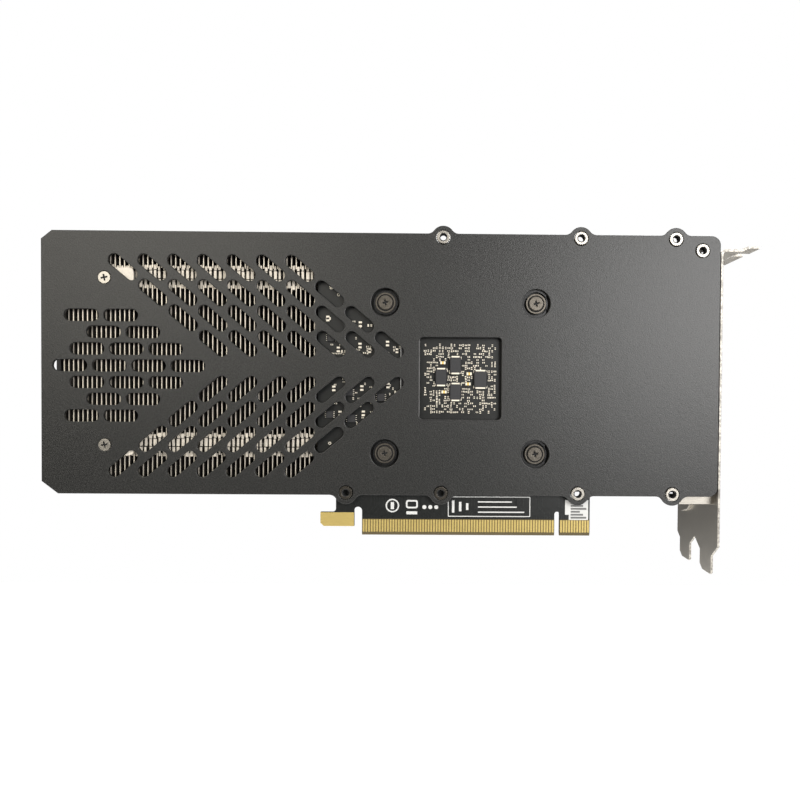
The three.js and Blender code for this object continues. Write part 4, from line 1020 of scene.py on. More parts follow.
class CARD_OT_bracket(bpy.types.Operator):
    """Build the slot bracket with its tongues, tab and flange, and the video ports"""

    bl_idname = "card.bracket"
    bl_label = "Slot bracket and ports"

    def execute(self, context):
        self.bracket(context.scene.card_sizes)
        self.ports()
        return {"FINISHED"}

    def bracket(self, sizes):
        """The punched face with its tongues, the folded tab, and the flange on the board."""
        near, far = BRACKET_LOW.y, BRACKET_HIGH.y
        first = near + FIRST_TONGUE
        outer = FACE_NEAR + THICK
        round_edge = sizes.sheet_round / MM * 0.7
        bend = 1.1
        outline = [
            (near, -3.45), *tongue(first), ((2 * first + TONGUE_WIDTH + TONGUE_PITCH) / 2, -3.95),
            *tongue(first + TONGUE_PITCH), (far, -5.5), (far, TAB_UNDER - bend),
            (near, TAB_UNDER - bend)]
        vents = [stadium(first + TONGUE_PITCH + 3.895, 14.2 + i * VENT_PITCH, 14.5, 4.6, 0)
                 for i in range(VENT_COUNT)]
        ports = [port_outline(i, 0.3) for i in range(len(PORTS))]
        sheet = Shape()
        sheet.slab("X", [outline, *vents, *ports], FACE_NEAR, outer, 0, round_edge)
        sheet.mark_sides(0, 1)

        tip = BRACKET_HIGH.x
        step, run, lift = outer + 6.5, 2.8, 1.1
        bottom = [
            *arc(outer + bend, TAB_UNDER - bend, bend, 180, 90, 6),
            (step, TAB_UNDER), (step + run, TAB_UNDER + lift), (tip - 0.3, TAB_UNDER + lift)]
        top = [
            (tip, TAB_UNDER + lift + 0.3), (tip, TAB_UNDER + lift + THICK - 0.2),
            (tip - 0.2, TAB_UNDER + lift + THICK), (step + run - 0.17, TAB_UNDER + lift + THICK),
            (step - 0.17, TAB_UNDER + THICK),
            *arc(outer + bend, TAB_UNDER - bend, bend + THICK, 90, 180, 8)]
        profile = bottom + top
        notch = NOTCH_WIDTH / 2
        lanes = [near]
        for i in range(2):
            centre = first + TONGUE_WIDTH / 2 + i * TONGUE_PITCH
            lanes += [centre - notch, centre + notch]
        lanes.append(far)
        notched = [p for p in profile if p[0] < tip - NOTCH_DEPTH + 0.1]
        for i, (low, high) in enumerate(zip(lanes, lanes[1:])):
            self.strip(sheet, notched if i % 2 else profile, low, high)
        flange_low, flange_high = 11.7, 18.6
        flange = rounded_box(FACE_NEAR - 13.0, flange_low, FACE_NEAR + 0.4, flange_high, 0.5)
        sheet.slab("Y", [flange], FACE, FACE + THICK, 0, round_edge)
        sheet.wire([(FACE_NEAR - 0.1, FACE + 0.55, flange_low + 0.3),
                    (FACE_NEAR - 0.1, FACE + 0.55, flange_high - 0.3)], 0.55)
        lug = [(19.6, 8.4), (22.0, 6.2), (27.5, 4.5), (30.2, 5.0), (30.2, 8.8)]
        sheet.slab("X", [lug], FACE_NEAR - 1.2, FACE_NEAR + 0.2, 0, 0.1)
        sheet.piece("bracket_sheet", ["nickel", "cut_edge"], ["slot_bracket"])

    @staticmethod
    def strip(sheet, profile, low, high):
        """A strip of the folded tab between two depths."""
        count = len(profile)
        points = [(x, low, z) for x, z in profile] + [(x, high, z) for x, z in profile]
        sheet.add(points, [[*range(count)], [*range(count, 2 * count)]], 1)
        first = len(sheet.points) - 2 * count
        for i in range(count):
            j = (i + 1) % count
            sheet.faces.append([first + i, first + j, first + count + j, first + count + i])
            sheet.marks.append(0)

    def ports(self):
        """Folded port shells with an insulator and a row of contacts in each."""
        for index, node in enumerate(PORTS):
            low, high = corners(node)
            mouth, back = high.x, low.x
            shell = Shape()
            shell.slab("X", [port_outline(index, 0), port_outline(index, -0.5)],
                       back + 0.4, mouth, 0, 0.12)
            shell.slab("X", [port_outline(index, 0)], back, back + 0.5, 0, 0.1)
            for side in (-1, 1):
                mid = (low.z + high.z) / 2 + side * 3.6
                shell.box((mouth - 7.0, high.y - 0.6, mid - 1.0),
                          (mouth - 3.0, high.y + 0.12, mid + 1.0), 0, 0.1)
            shell.piece(f"port_shell_{index + 1}", ["nickel"], [node])

            insert = f"video_port_insert_{index + 1}"
            core = Shape()
            low, high = corners(insert)
            blade = (low.y + high.y) / 2
            mid = (low.z + high.z) / 2
            core.slab("X", [port_outline(index, -0.7)], low.x, low.x + 6.0, 0, 0.15)
            reach = (high.z - low.z) / 2 - 2.6
            core.box((low.x + 5.5, blade - 0.6, mid - reach), (high.x, blade + 0.6, mid + reach),
                     0, 0.15)
            for i in range(10):
                z = mid - reach + 0.7 + i * (2 * reach - 1.4) / 9
                for side in (-1, 1):
                    core.box((low.x + 6, blade + side * 0.62 - 0.05, z - 0.2),
                             (high.x - 0.5, blade + side * 0.62 + 0.05, z + 0.2), 1)
            core.piece(f"port_insert_{index + 1}", ["plastic", "gold"], [insert])


# ---- Power socket --------------------------------------------------------------------------

class CARD_OT_power(bpy.types.Operator):
    """Build the eight-way power socket and its pins"""

    bl_idname = "card.power"
    bl_label = "Power socket"

    def execute(self, context):
        low, high = corners("power_socket")
        pitch, wall, cell = 4.2, 1.2, 3.4
        cells = [(low.x + wall + (i + 0.5) * pitch, low.y + wall + (j + 0.5) * pitch)
                 for j in range(2) for i in range(4)]
        socket = Shape()
        outline = rounded_box(low.x, low.y, high.x, high.y, 0.8)
        half = cell / 2
        holes = []
        for i, (x, y) in enumerate(cells):
            corner, steps = (0.8, 1) if i % 2 else (0.3, 4)
            holes.append(rounded_box(x - half, y - half, x + half, y + half, corner, steps))
        socket.slab("Z", [outline, *holes], low.z + 3, high.z, 0, 0.15)
        socket.slab("Z", [outline], low.z, low.z + 3.2, 0, 0.15)
        middle_x = (low.x + high.x) / 2
        socket.box((middle_x - 2.2, high.y - 0.1, high.z - 7),
                   (middle_x + 2.2, high.y + 1.3, high.z - 4.4), 0, 0.3)
        socket.piece("socket_housing", ["plastic"], ["power_socket"])

        pins = Shape()
        top = corners("power_pins")[1].z
        for x, y in cells:
            pins.box((x - 0.55, y - 0.55, low.z - 0.5), (x + 0.55, y + 0.55, top), 0, 0.15)
        pins.piece("socket_pins", ["gold"], ["power_pins"])
        return {"FINISHED"}


# ---- Heatsink ------------------------------------------------------------------------------

PATH_STEPS = 9
SADDLE_HALF = 4.2
PETALS = 9
SHALLOW = 5.0


def pipe_path(node):
    """Points along a heat pipe, from its far end in the fins to its end on the cold plate."""
    low, high = corners(node)
    upper = (low.z + high.z) / 2 > GPU.z + 2
    outer = low.y < 2
    radius = (high.y - low.y) / 2 if not outer else 3.0
    far_z = (high.z - radius) if upper else (low.z + radius)
    near_z = (low.z + radius) if upper else (high.z - radius)
    deep = high.y - radius
    depth = low.y + radius
    board = BOARD_LOW.x
    start = board + (5.0 if outer else 0.0)
    bend, lead = 24.0, 4.0
    stations = [
        (low.x + 0.2, depth, far_z), (board - bend - lead, depth, far_z),
        (board - bend, depth, far_z), (board - 2 * lead, deep, far_z),
        (start - lead, deep, far_z), (start, deep, far_z), (start + bend, deep, near_z),
        (start + bend + lead, deep, near_z), (high.x, deep, near_z)]
    return smooth_path([Vector(p) for p in stations], PATH_STEPS)


def smooth_path(points, steps):
    """A smooth curve through points, by centripetal Catmull-Rom pieces."""
    ends = [2 * points[0] - points[1], *points, 2 * points[-1] - points[-2]]
    path = []
    for a, b, c, d in zip(ends, ends[1:], ends[2:], ends[3:]):
        knots = [0.0]
        for p, q in ((a, b), (b, c), (c, d)):
            knots.append(knots[-1] + math.sqrt((q - p).length))
        for i in range(steps):
            t = knots[1] + (knots[2] - knots[1]) * i / steps
            level = [a, b, c, d]
            for size in (1, 2):
                level = [
                    blend(level[k], level[k + 1], knots[k], knots[k + size], t)
                    for k in range(len(level) - 1)]
            path.append(blend(*level, knots[1], knots[2], t))
    return [*path, points[-1]]


def blend(first, second, low, high, t):
    """The point at t on the line that is at first for low and at second for high."""
    return first * ((high - t) / (high - low)) + second * ((t - low) / (high - low))


class CARD_OT_heatsink(bpy.types.Operator):
    """Build the fins, heat pipes, cold plate and end tabs"""

    bl_idname = "card.heatsink"
    bl_label = "Heatsink"

    def execute(self, context):
        sizes = context.scene.card_sizes
        pipes = [f"heat_pipe_{i}" for i in range(1, 5)]
        self.pipes(pipes, sizes)
        self.left_fins(pipes, sizes)
        self.right_fins(sizes)
        self.plates()
        return {"FINISHED"}

    def pipes(self, nodes, sizes):
        """Plated pipes with a drawn-in tip."""
        radius = sizes.pipe_radius / MM
        for index, node in enumerate(nodes):
            path = pipe_path(node)
            pipe = Shape()
            pipe.wire(path, radius, 0, 6)
            tip = path[0]
            profile = [(0, tip.x - 0.2), (radius * 0.4, tip.x - 0.2), (radius * 0.8, tip.x),
                       (radius, tip.x + 0.8), (0, tip.x + 0.8)]
            pipe.turned("X", (tip.y, tip.z), profile)
            pipe.piece(f"pipe_{index + 1}", ["dark_nickel"], [node])

    def left_fins(self, pipes, sizes):
        """Fins past the board's end, notched for the pipes, with petalled collars on them."""
        low, high = corners("fin_stack_left")
        pitch, thick = sizes.fin_pitch / MM, sizes.fin_thickness / MM
        radius = sizes.pipe_radius / MM + 0.12
        paths = [pipe_path(node)[0] for node in pipes]
        edge = []
        for place in sorted(paths, key=lambda p: p.z):
            if place.y < SHALLOW:
                edge += [(low.y, place.z - radius), (place.y, place.z - radius),
                         *arc(place.y, place.z, radius, -90, 90, 10)[1:-1],
                         (place.y, place.z + radius), (low.y, place.z + radius)]
        outline = [(high.y, low.z), (low.y, low.z), *edge, (low.y, high.z), (high.y, high.z)]
        holes = [circle(p.y, p.z, radius, 24) for p in paths if p.y > SHALLOW]
        fin = Shape()
        fin.slab("X", [outline, *holes], 0, thick)
        collar = Shape()
        for place in paths:
            self.collar(collar, place, radius, thick, pitch)
        stack = Shape()
        count = int((high.x - low.x - thick) / pitch)
        for i in range(count + 1):
            shift = Matrix.Translation((low.x + i * pitch, 0, 0))
            stack.take(fin, shift)
            if i < count:
                stack.take(collar, shift)
        for place in paths:
            if place.y < SHALLOW:
                self.saddles(stack, place, count, low.x, low.y, pitch, thick)
        self.rails(stack, low, high, 3, 4.5)
        stack.piece("fins_left", ["fin", "tinned"], ["fin_stack_left"], sharp=30)

    @staticmethod
    def rails(stack, low, high, start, end):
        """Strips that lock the fins together along their top and bottom edges."""
        for z0, z1 in ((low.z, low.z + 0.35), (high.z - 0.35, high.z)):
            stack.box((low.x, low.y + start, z0), (high.x, low.y + end, z1))
            stack.box((low.x, high.y - end, z0), (high.x, high.y - start, z1))

    @staticmethod
    def saddles(shape, place, count, left, near, pitch, thick):
        """Bent tabs that lie over a shallow pipe between each fin and the next."""
        seeded = random.Random(round(place.z))
        for i in range(count):
            x = left + i * pitch + thick
            reach = SADDLE_HALF + seeded.uniform(-0.5, 0.3)
            for low, high in ((-reach, -0.9), (-0.6, reach * 0.55), (reach * 0.6, reach)):
                lift = near + 0.15 + seeded.uniform(0.0, 0.7)
                wide = pitch - thick - seeded.uniform(0.15, 0.6)
                shape.box((x, lift, place.z + low), (x + wide, lift + 0.3, place.z + high), 1, 0.08)

    @staticmethod
    def collar(shape, place, radius, thick, pitch):
        """Petals pressed out of one fin, lying on a pipe up to the next fin."""
        for i in range(PETALS):
            start = 96 + i * 20
            inner = arc(place.y, place.z, radius - 0.08, start, start + 15, 2)
            outer = arc(place.y, place.z, radius + 0.34, start + 15, start, 2)
            shape.slab("X", [inner + outer], thick, pitch - 0.22)

    def right_fins(self, sizes):
        """Fins over the processor side of the card."""
        low, high = corners("fin_stack_right")
        pitch, thick = sizes.fin_pitch / MM, sizes.fin_thickness / MM
        stack = Shape()
        for i in range(int((high.x - low.x - thick) / pitch) + 1):
            x = low.x + i * pitch
            stack.box((x, low.y, low.z), (x + thick, high.y, high.z))
        self.rails(stack, low, high, 2, 3.4)
        stack.piece("fins_right", ["fin"], ["fin_stack_right"], sharp=30)

    def plates(self):
        """The cold plate over the processor and the two tabs at the stack's end."""
        low, high = corners("cold_plate")
        plate = Shape()
        outline = rounded_box(low.x, low.z, high.x, high.z, 2.0)
        plate.slab("Y", [outline, *[circle(s.x, s.z, SCREW_BORE, 24) for s in GPU_SCREWS]],
                   low.y, high.y, 0, 0.3)
        plate.piece("cold_block", ["copper"], ["cold_plate"])
        for level, screw in zip(("lower", "upper"), PLATE_SCREWS):
            node = f"heatsink_tab_{level}"
            low, high = corners(node)
            tab = Shape()
            outline = rounded_box(low.x, low.z, high.x, high.z, 1.6, 8)
            tab.slab("Y", [outline, circle(screw.x, screw.z, 1.5, 24)], low.y, high.y, 0, 0.15)
            tab.piece(f"tab_{level}", ["tinned"], [node])


# ---- Fasteners -----------------------------------------------------------------------------

def cross(cx, cz, reach, half):
    """A cross recess, turned a little."""
    points = [(reach, -half), (reach, half), (half, half), (half, reach), (-half, reach),
              (-half, half), (-reach, half), (-reach, -half), (-half, -half), (-half, -reach),
              (half, -reach), (half, -half)]
    turn = math.radians(12)
    cos, sin = math.cos(turn), math.sin(turn)
    return [(cx + x * cos - z * sin, cz + x * sin + z * cos) for x, z in points]


SPRING_TURNS = 0.9
SPRING_STEPS = 36
SPRING_WIRE = 0.26
KNURL_TEETH = 22
AGED_NUTS = (5, 6)


def recess_shade_disc(screw, centre, radius, depth):
    """A near-black disc in painted shade at the bottom of a cross recess."""
    screw.turned("Y", centre, [
        (0, depth), (radius, depth), (radius, depth + 0.12), (0, depth + 0.12)], 24, 1)


class CARD_OT_fasteners(bpy.types.Operator):
    """Build the clinch nuts, spring screws, springs and small plate screws"""

    bl_idname = "card.fasteners"
    bl_label = "Fasteners"

    def execute(self, context):
        for index, nut in enumerate(NUTS):
            self.nut(index + 1, nut)
        for index, screw in enumerate(GPU_SCREWS):
            self.spring_screw(index + 1, screw)
        for level, screw in zip(("lower", "upper"), PLATE_SCREWS):
            self.plate_screw(level, screw)
        return {"FINISHED"}

    def nut(self, number, spot):
        """A knurled ring with a threaded bore."""
        low, high = corners(f"clinch_nut_{number}")
        nut = Shape()
        knurl = []
        for i in range(KNURL_TEETH * 4):
            angle = 2 * math.pi * i / (KNURL_TEETH * 4)
            radius = 2.36 + 0.13 * math.cos(angle * KNURL_TEETH)
            knurl.append((spot.x + radius * math.cos(angle), spot.z + radius * math.sin(angle)))
        nut.slab("Y", [knurl, circle(spot.x, spot.z, 1.45, 32)], low.y, low.y + 1.5, 0, 0.12)
        threads = [(1.15 + (0.2 if i % 2 else 0.0), low.y + 0.25 + i * 0.2) for i in range(9)]
        profile = [(2.1, high.y), (1.5, low.y + 1.0), (1.5, low.y + 0.05), *threads, (1.2, high.y)]
        # The threaded bore takes the near-black finish: painted shade inside the bore.
        nut.turned("Y", (spot.x, spot.z), profile, 32, 1)
        metal = "aged_nickel" if number in AGED_NUTS else "nickel"
        nut.piece(f"nut_{number}", [metal, "dark"], [f"clinch_nut_{number}"])

    def spring_screw(self, number, spot):
        """A pan head with a cross recess, its washer and shank, and a split spring washer."""
        low, high = corners(f"gpu_screw_{number}")
        centre = (spot.x, spot.z)
        top = low.y
        screw = Shape()
        screw.slab("Y", [circle(*centre, 2.5, 48), cross(*centre, 1.3, 0.34)], top, top + 0.7, 0, 0.06)
        recess_shade_disc(screw, centre, 1.5, top + 0.5)
        screw.turned("Y", centre, [
            (0, top + 0.6), (2.5, top + 0.35), (2.7, top + 0.6), (2.7, top + 1.2), (2.6, top + 1.3),
            (1.25, top + 1.3), (1.25, high.y - 0.4), (0.9, high.y), (0, high.y)], 48)
        # A thin near-black ring in painted shade, in the groove between the head and the cupped washer.
        screw.turned("Y", centre, [(2.6, top + 0.98), (3.15, top + 0.98),
                                   (3.15, top + 1.05), (2.6, top + 1.05)], 48, 1)
        screw.turned("Y", centre, [(3.1, top + 0.75), (3.6, top + 0.75), (3.7, top + 0.9),
                                   (3.6, top + 1.1), (3.1, top + 1.1)], 48)
        screw.piece(f"spring_screw_{number}", ["dark_nickel", "dark"],
                    [f"gpu_screw_{number}"])
        spring = Shape()
        low, high = corners(f"gpu_spring_{number}")
        radius = (high.x - low.x) / 2 - 0.3
        rise = high.y - low.y - 0.6
        points = []
        for i in range(SPRING_STEPS + 1):
            angle = 2 * math.pi * SPRING_TURNS * i / SPRING_STEPS
            points.append((spot.x + radius * math.cos(angle), low.y + 0.3 + rise * i / SPRING_STEPS,
                           spot.z + radius * math.sin(angle)))
        spring.wire(points, SPRING_WIRE, 0, 1)
        spring.piece(f"spring_{number}", ["dark_nickel"], [f"gpu_spring_{number}"])

    def plate_screw(self, level, spot):
        """A flat countersunk screw with a cross recess."""
        low, high = corners(f"plate_screw_{level}")
        centre = (spot.x, spot.z)
        screw = Shape()
        screw.slab("Y", [circle(*centre, 2.2, 40), cross(*centre, 1.2, 0.28)],
                   low.y, low.y + 0.45, 0, 0.05)
        recess_shade_disc(screw, centre, 1.4, low.y + 0.3)
        screw.turned("Y", centre, [(0, low.y + 0.4), (2.15, low.y + 0.4), (1.2, low.y + 1.2),
                                   (1.2, high.y - 0.3), (0.9, high.y), (0, high.y)], 32)
        screw.piece(f"flat_screw_{level}", ["nickel", "dark"],
                    [f"plate_screw_{level}"])


# ---- Shroud and fans -----------------------------------------------------------------------

FAN_OPENING = 44.6
SHROUD_WALL = 1.8
FRAME_THICK = 2.5
MOTOR_RADIUS = 15.0
POST_RADIUS = 13.5
POST_BORE = 1.95
HUB_RADIUS = 17.0
HUB_WALL = 1.2
BLADES = 11


class CARD_OT_shroud(bpy.types.Operator):
    """Build the moulded shroud with its fan mouths"""

    bl_idname = "card.shroud"
    bl_label = "Shroud"

    def execute(self, context):
        sizes = context.scene.card_sizes
        left, bottom, top = SHROUD_LOW.x, SHROUD_LOW.z, SHROUD_HIGH.z
        right, near, front = SHROUD_HIGH.x, SHROUD_LOW.y, SHROUD_HIGH.y
        panel, clip, wall = front - SHROUD_WALL, 4.0, SHROUD_WALL
        soft = sizes.mould_round / MM
        outline = [(left + clip, bottom), (right, bottom), (right, top), (left + clip, top),
                   (left, top - clip), (left, bottom + clip)]
        mouths = [circle(spot.x, spot.z, FAN_OPENING, 96) for spot in FANS.values()]
        shell = Shape()
        shell.slab("Y", [outline, *mouths], panel, front, 0, soft)
        inner = clip - wall * math.tan(math.pi / 8)
        arms = [
            (right, bottom), (right, bottom + wall), (left + wall + inner, bottom + wall),
            (left + wall, bottom + wall + inner), (left + wall, top - wall - inner),
            (left + wall + inner, top - wall), (left + clip, top), (left, top - clip),
            (left, bottom + clip), (left + clip, bottom)]
        shell.slab("Y", [arms], near, front - 0.4, 0, 0.25)
        socket_low, socket_high = corners("power_socket")
        gate0, gate1, gate_far = socket_low.x - 2, socket_high.x + 2, socket_high.y + 2
        top_wall = [
            (left + clip - 0.3, near), (gate0, near), (gate0, gate_far), (gate1, gate_far),
            (gate1, near), (right, near), (right, front - 0.4), (left + clip - 0.3, front - 0.4)]
        shell.slab("Z", [top_wall], top - wall, top, 0, 0.25)
        rim = FAN_OPENING
        for spot in FANS.values():
            shell.turned("Y", (spot.x, spot.z), [
                (rim + 1.6, panel + 0.2), (rim + 1.6, 24.8), (rim + 0.02, 24.8), (rim + 0.02, panel),
                (rim + 0.3, front - 0.5), (rim + 1.0, front + 0.15), (rim + 1.9, front + 0.15),
                (rim + 2.3, front - 0.3)], 96)
        self.ribs(shell, front)
        shell.piece("shroud_shell", ["plastic"], ["shroud"])
        return {"FINISHED"}

    @staticmethod
    def ribs(shell, front):
        """Raised slanted ribs in the four corners between the mouths and at the right."""
        middle_z = FANS["left"].z
        centre = (FANS["left"].x + FANS["right"].x) / 2
        for side in (-1, 1):
            for i in range(3):
                z = middle_z + side * (37.5 - i * 5.2)
                span = 17 - i * 4.6
                shell.slab("Y", [stadium(centre, z, span, 1.8, 0)], front - 0.3, front + 0.45, 0, 0.25)
            for i in range(6):
                x = FANS["right"].x + FAN_OPENING + 12 + i * 6.2
                shell.slab("Y", [stadium(x, middle_z + side * 15, 30, 2.0, 60 * side)],
                           front - 0.3, front + 0.45, 0, 0.25)


class CARD_OT_fans(bpy.types.Operator):
    """Build the two fans: frames, rotors and shafts"""

    bl_idname = "card.fans"
    bl_label = "Fans"

    def execute(self, context):
        for side, spot in FANS.items():
            self.frame(side, spot)
            self.rotor(side, spot)
        return {"FINISHED"}

    def frame(self, side, spot):
        """A ring, four struts and the motor's base with its bored post."""
        node = f"fan_frame_{side}"
        low, high = corners(node)
        centre = (spot.x, spot.z)
        far = low.y + FRAME_THICK
        outer = FAN_OPENING + 1.6
        ring = Shape()
        ring.turned("Y", centre, [
            (outer - 2.0, low.y + 0.3), (outer - 1.7, low.y), (outer - 0.4, low.y),
            (outer - 0.1, low.y + 0.3), (outer - 0.1, far - 0.3), (outer - 0.4, far),
            (outer - 1.7, far), (outer - 2.0, far - 0.3)], 96)
        for i in range(4):
            angle = math.radians(45 + 90 * i)
            direction = Vector((math.cos(angle), math.sin(angle)))
            reach = Vector(centre) + direction * (outer + 14) / 2
            ring.slab("Y", [stadium(reach.x, reach.y, outer - 12, 4.0, 45 + 90 * i)],
                      low.y, far, 0, 0.4)
        ring.turned("Y", centre, [
            (0, low.y), (MOTOR_RADIUS - 0.3, low.y), (MOTOR_RADIUS, low.y + 0.3),
            (MOTOR_RADIUS, far - 0.3), (MOTOR_RADIUS - 0.3, far), (POST_RADIUS, far),
            (POST_RADIUS, high.y - 0.3), (POST_RADIUS - 0.3, high.y), (POST_BORE, high.y),
            (POST_BORE, low.y + 0.8), (0, low.y + 0.8)], 64)
        ring.piece(f"frame_{side}", ["plastic"], [node])

    def rotor(self, side, spot):
        """A domed hub with eleven swept blades, turning on a steel shaft."""
        node = f"fan_rotor_{side}"
        low, high = corners(node)
        centre = (spot.x, spot.z)
        radius, wall = HUB_RADIUS, HUB_WALL
        rotor = Shape()
        rotor.turned("Y", centre, [
            (1.7, high.y - wall), (radius - wall, high.y - wall), (radius - wall, low.y),
            (radius - 0.3, low.y), (radius, low.y + 0.3), (radius, high.y - 1.0),
            (radius - 0.35, high.y - 0.3), (radius - 1.1, high.y), (12.4, high.y),
            (12.1, high.y - 0.25), (11.7, high.y - 0.25), (11.4, high.y), (1.7, high.y)], 96)
        rotor.turned("Y", centre, [(0, high.y - 0.5), (11.0, high.y - 0.5), (11.0, high.y - 0.03),
                                   (0, high.y - 0.03)], 96, 1)
        tip = (high.x - low.x + high.z - low.z) / 4
        blade = self.blade(radius - 0.6, tip - 0.05, low.y + 0.25, high.y - 0.25)
        for i in range(BLADES):
            turn = Matrix.Rotation(2 * math.pi * i / BLADES, 4, "Y")
            rotor.take(blade, Matrix.Translation((spot.x, 0, spot.z)) @ turn)
        rotor.piece(f"rotor_{side}", ["blade", "plastic"], [node], f"fan_{side}", 50)
        shaft = Shape()
        low, high = corners(f"fan_shaft_{side}")
        shaft.turned("Y", centre, [(0, low.y), (1.2, low.y), (1.5, low.y + 0.3), (1.5, high.y - 0.3),
                                   (1.2, high.y), (0, high.y)], 32)
        shaft.piece(f"shaft_{side}", ["nickel"], [f"fan_shaft_{side}"],
                    f"fan_{side}")

    @staticmethod
    def blade(root, tip, low, high):
        """One blade: swept back, twisted flatter towards the tip, thin at its edges."""
        chords, spans = 10, 12
        points, faces = [], []
        for layer in (0, 1):
            for j in range(spans + 1):
                share = j / spans
                radius = root + (tip - root) * share
                chord = math.radians(29 - 3 * share)
                sweep = math.radians(13) * share ** 1.6
                depth = (high - low) * (1.0 - 0.25 * share)
                for i in range(chords + 1):
                    run = i / chords
                    angle = sweep + chord * (run - 0.5)
                    lift = depth * (0.5 - run) + 0.9 * math.sin(math.pi * run)
                    belly = math.sin(math.pi * min(1.0, run * 1.1 + 0.02))
                    thick = 0.18 + 0.75 * belly * (1 - 0.35 * share)
                    y = (low + high) / 2 - lift * 0.9 + (thick / 2 if layer else -thick / 2)
                    y = min(max(y, low), high)
                    points.append((radius * math.sin(angle), y, radius * math.cos(angle)))
        row, sheet = chords + 1, (chords + 1) * (spans + 1)
        for j in range(spans):
            for i in range(chords):
                a = j * row + i
                faces.append([a, a + 1, a + row + 1, a + row])
                faces.append([sheet + a, sheet + a + row, sheet + a + row + 1, sheet + a + 1])
        border = [*range(row), *[j * row + chords for j in range(1, spans + 1)],
                  *[spans * row + i for i in range(chords - 1, -1, -1)],
                  *[j * row for j in range(spans - 1, 0, -1)]]
        for a, b in zip(border, border[1:] + border[:1]):
            faces.append([a, b, sheet + b, sheet + a])
        blade = Shape()
        blade.add(points, faces)
        return blade


# ---- Stage ---------------------------------------------------------------------------------

CAMERA_PLACE = (-7.093, -231.555, 50.951)
YAW, PITCH, ROLL = 0.0100, -0.0159, 0.0069
LENS = 28.155
SHIFT_ACROSS, SHIFT_UP = -0.0577, 0.0093
LIGHT_AIM = (-0.01, 0.01, 0.06)
FLOOR_REACH, FLOOR_LEVEL = 0.8, -0.20
FLOOR_FRONT, FLOOR_BACK = -0.25, 0.6
FLOOR_GLOW = 0.9
ROOM_LIGHT, SEEN_WHITE = 0.10, 0.90


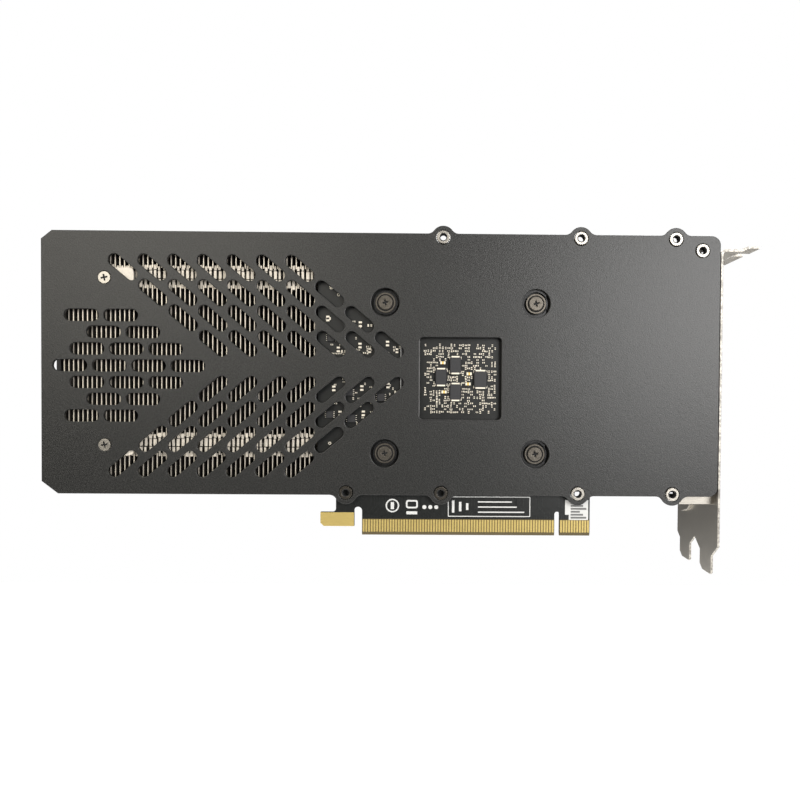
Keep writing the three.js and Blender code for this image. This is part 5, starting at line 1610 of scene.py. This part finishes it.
class CARD_OT_stage(bpy.types.Operator):
    """Set up the camera, soft lights, white surroundings and pale floor"""

    bl_idname = "card.stage"
    bl_label = "Stage"

    def execute(self, context):
        scene = context.scene
        scene.view_settings.view_transform = "Standard"
        self.camera(scene)
        self.floor(scene)
        self.surroundings(scene)
        self.softbox(scene, "key_right", (0.38, -0.60, 0.19), 0.42, 5.3, (1.0, 0.99, 0.98))
        self.softbox(scene, "fill_left", (-0.38, -0.56, 0.33), 0.50, 2.6, (1.0, 0.96, 0.87))
        self.softbox(scene, "top", (0.0, -0.05, 0.75), 0.6, 3.0, (1.0, 1.0, 1.0))
        self.softbox(scene, "fan_side", (0.45, 0.75, 0.40), 0.6, 6.0, (1.0, 1.0, 1.0))
        return {"FINISHED"}

    @staticmethod
    def camera(scene):
        """A camera square to the back plate but for a small yaw, pitch and roll, in radians."""
        level = math.cos(PITCH)
        forward = Vector((math.sin(YAW) * level, math.cos(YAW) * level, math.sin(PITCH)))
        across = Vector((math.cos(YAW), -math.sin(YAW), 0))
        upward = across.cross(forward)
        right = across * math.cos(ROLL) + upward * math.sin(ROLL)
        up = upward * math.cos(ROLL) - across * math.sin(ROLL)
        data = bpy.data.cameras.new("camera")
        data.sensor_width = 36
        data.lens = LENS
        data.shift_x = SHIFT_ACROSS
        data.shift_y = SHIFT_UP
        data.clip_start = 0.01
        data.clip_end = 20
        camera = bpy.data.objects.new("camera", data)
        turn = Matrix((right, up, -forward)).transposed().to_4x4()
        camera.matrix_world = Matrix.Translation(Vector(CAMERA_PLACE) * MM) @ turn
        scene.collection.objects.link(camera)
        scene.camera = camera

    @staticmethod
    def floor(scene):
        """A pale floor under the card, lit a little from itself so that it ends in white."""
        finish = Finish("pale_floor")
        mottle = finish.noise(40, 2.0)
        finish.set(Base_Color=finish.mix(mottle, (0.90, 0.90, 0.89), (0.94, 0.94, 0.93)), Roughness=0.7)
        finish.set(Emission_Color=(1, 1, 1, 1), Emission_Strength=FLOOR_GLOW)
        mesh = bpy.data.meshes.new("floor")
        edge = [(-FLOOR_REACH, FLOOR_FRONT), (FLOOR_REACH, FLOOR_FRONT),
                (FLOOR_REACH, FLOOR_BACK), (-FLOOR_REACH, FLOOR_BACK)]
        mesh.from_pydata([(x, y, FLOOR_LEVEL) for x, y in edge], [], [(0, 1, 2, 3)])
        mesh.materials.append(finish.material)
        floor = bpy.data.objects.new("floor", mesh)
        scene.collection.objects.link(floor)

    @staticmethod
    def surroundings(scene):
        """A white backdrop for the lens, and dimmer light all round the card."""
        world = bpy.data.worlds.new("white_room")
        world.use_nodes = True
        tree = world.node_tree
        background = tree.nodes["Background"]
        seen = tree.nodes.new("ShaderNodeLightPath")
        scale = tree.nodes.new("ShaderNodeMath")
        scale.operation = "MULTIPLY_ADD"
        tree.links.new(seen.outputs["Is Camera Ray"], scale.inputs[0])
        scale.inputs[1].default_value = SEEN_WHITE
        scale.inputs[2].default_value = ROOM_LIGHT
        tree.links.new(scale.outputs[0], background.inputs["Strength"])
        background.inputs["Color"].default_value = (1, 1, 1, 1)
        scene.world = world

    @staticmethod
    def softbox(scene, name, place, size, power, tint):
        """A square soft light that points at the card and isn't seen itself."""
        data = bpy.data.lights.new(name, "AREA")
        data.shape = "SQUARE"
        data.size = size
        data.energy = power
        data.color = tint
        light = bpy.data.objects.new(name, data)
        light.location = place
        aim = Vector(LIGHT_AIM) - Vector(place)
        light.rotation_euler = aim.to_track_quat("-Z", "Y").to_euler()
        light.visible_camera = False
        scene.collection.objects.link(light)


# ---- Add-on --------------------------------------------------------------------------------

OPERATORS = (
    CARD_OT_stage, CARD_OT_back_plate, CARD_OT_board, CARD_OT_parts, CARD_OT_bracket,
    CARD_OT_power, CARD_OT_heatsink, CARD_OT_fasteners, CARD_OT_shroud, CARD_OT_fans)


class CARD_PT_panel(bpy.types.Panel):
    """Lists the card's pieces in the sidebar"""

    bl_label = "Graphics card"
    bl_idname = "CARD_PT_panel"
    bl_space_type = "VIEW_3D"
    bl_region_type = "UI"
    bl_category = "Card"

    def draw(self, context):
        for group in (context.scene.card_sizes, context.scene.card_colours):
            box = self.layout.box()
            for name in group.__annotations__:
                box.prop(group, name)
        for operator in OPERATORS:
            self.layout.operator(operator.bl_idname)


CLASSES = (CardSizes, CardColours, *OPERATORS, CARD_PT_panel)


def register():
    for each in CLASSES:
        bpy.utils.register_class(each)
    bpy.types.Scene.card_sizes = bpy.props.PointerProperty(type=CardSizes)
    bpy.types.Scene.card_colours = bpy.props.PointerProperty(type=CardColours)


def unregister():
    del bpy.types.Scene.card_colours
    del bpy.types.Scene.card_sizes
    for each in reversed(CLASSES):
        bpy.utils.unregister_class(each)


def main():
    """Build everything in order."""
    register()
    make_finishes(bpy.context.scene.card_colours)
    for operator in OPERATORS:
        group, name = operator.bl_idname.split(".")
        getattr(getattr(bpy.ops, group), name)()


if __name__ == "__main__":
    main()
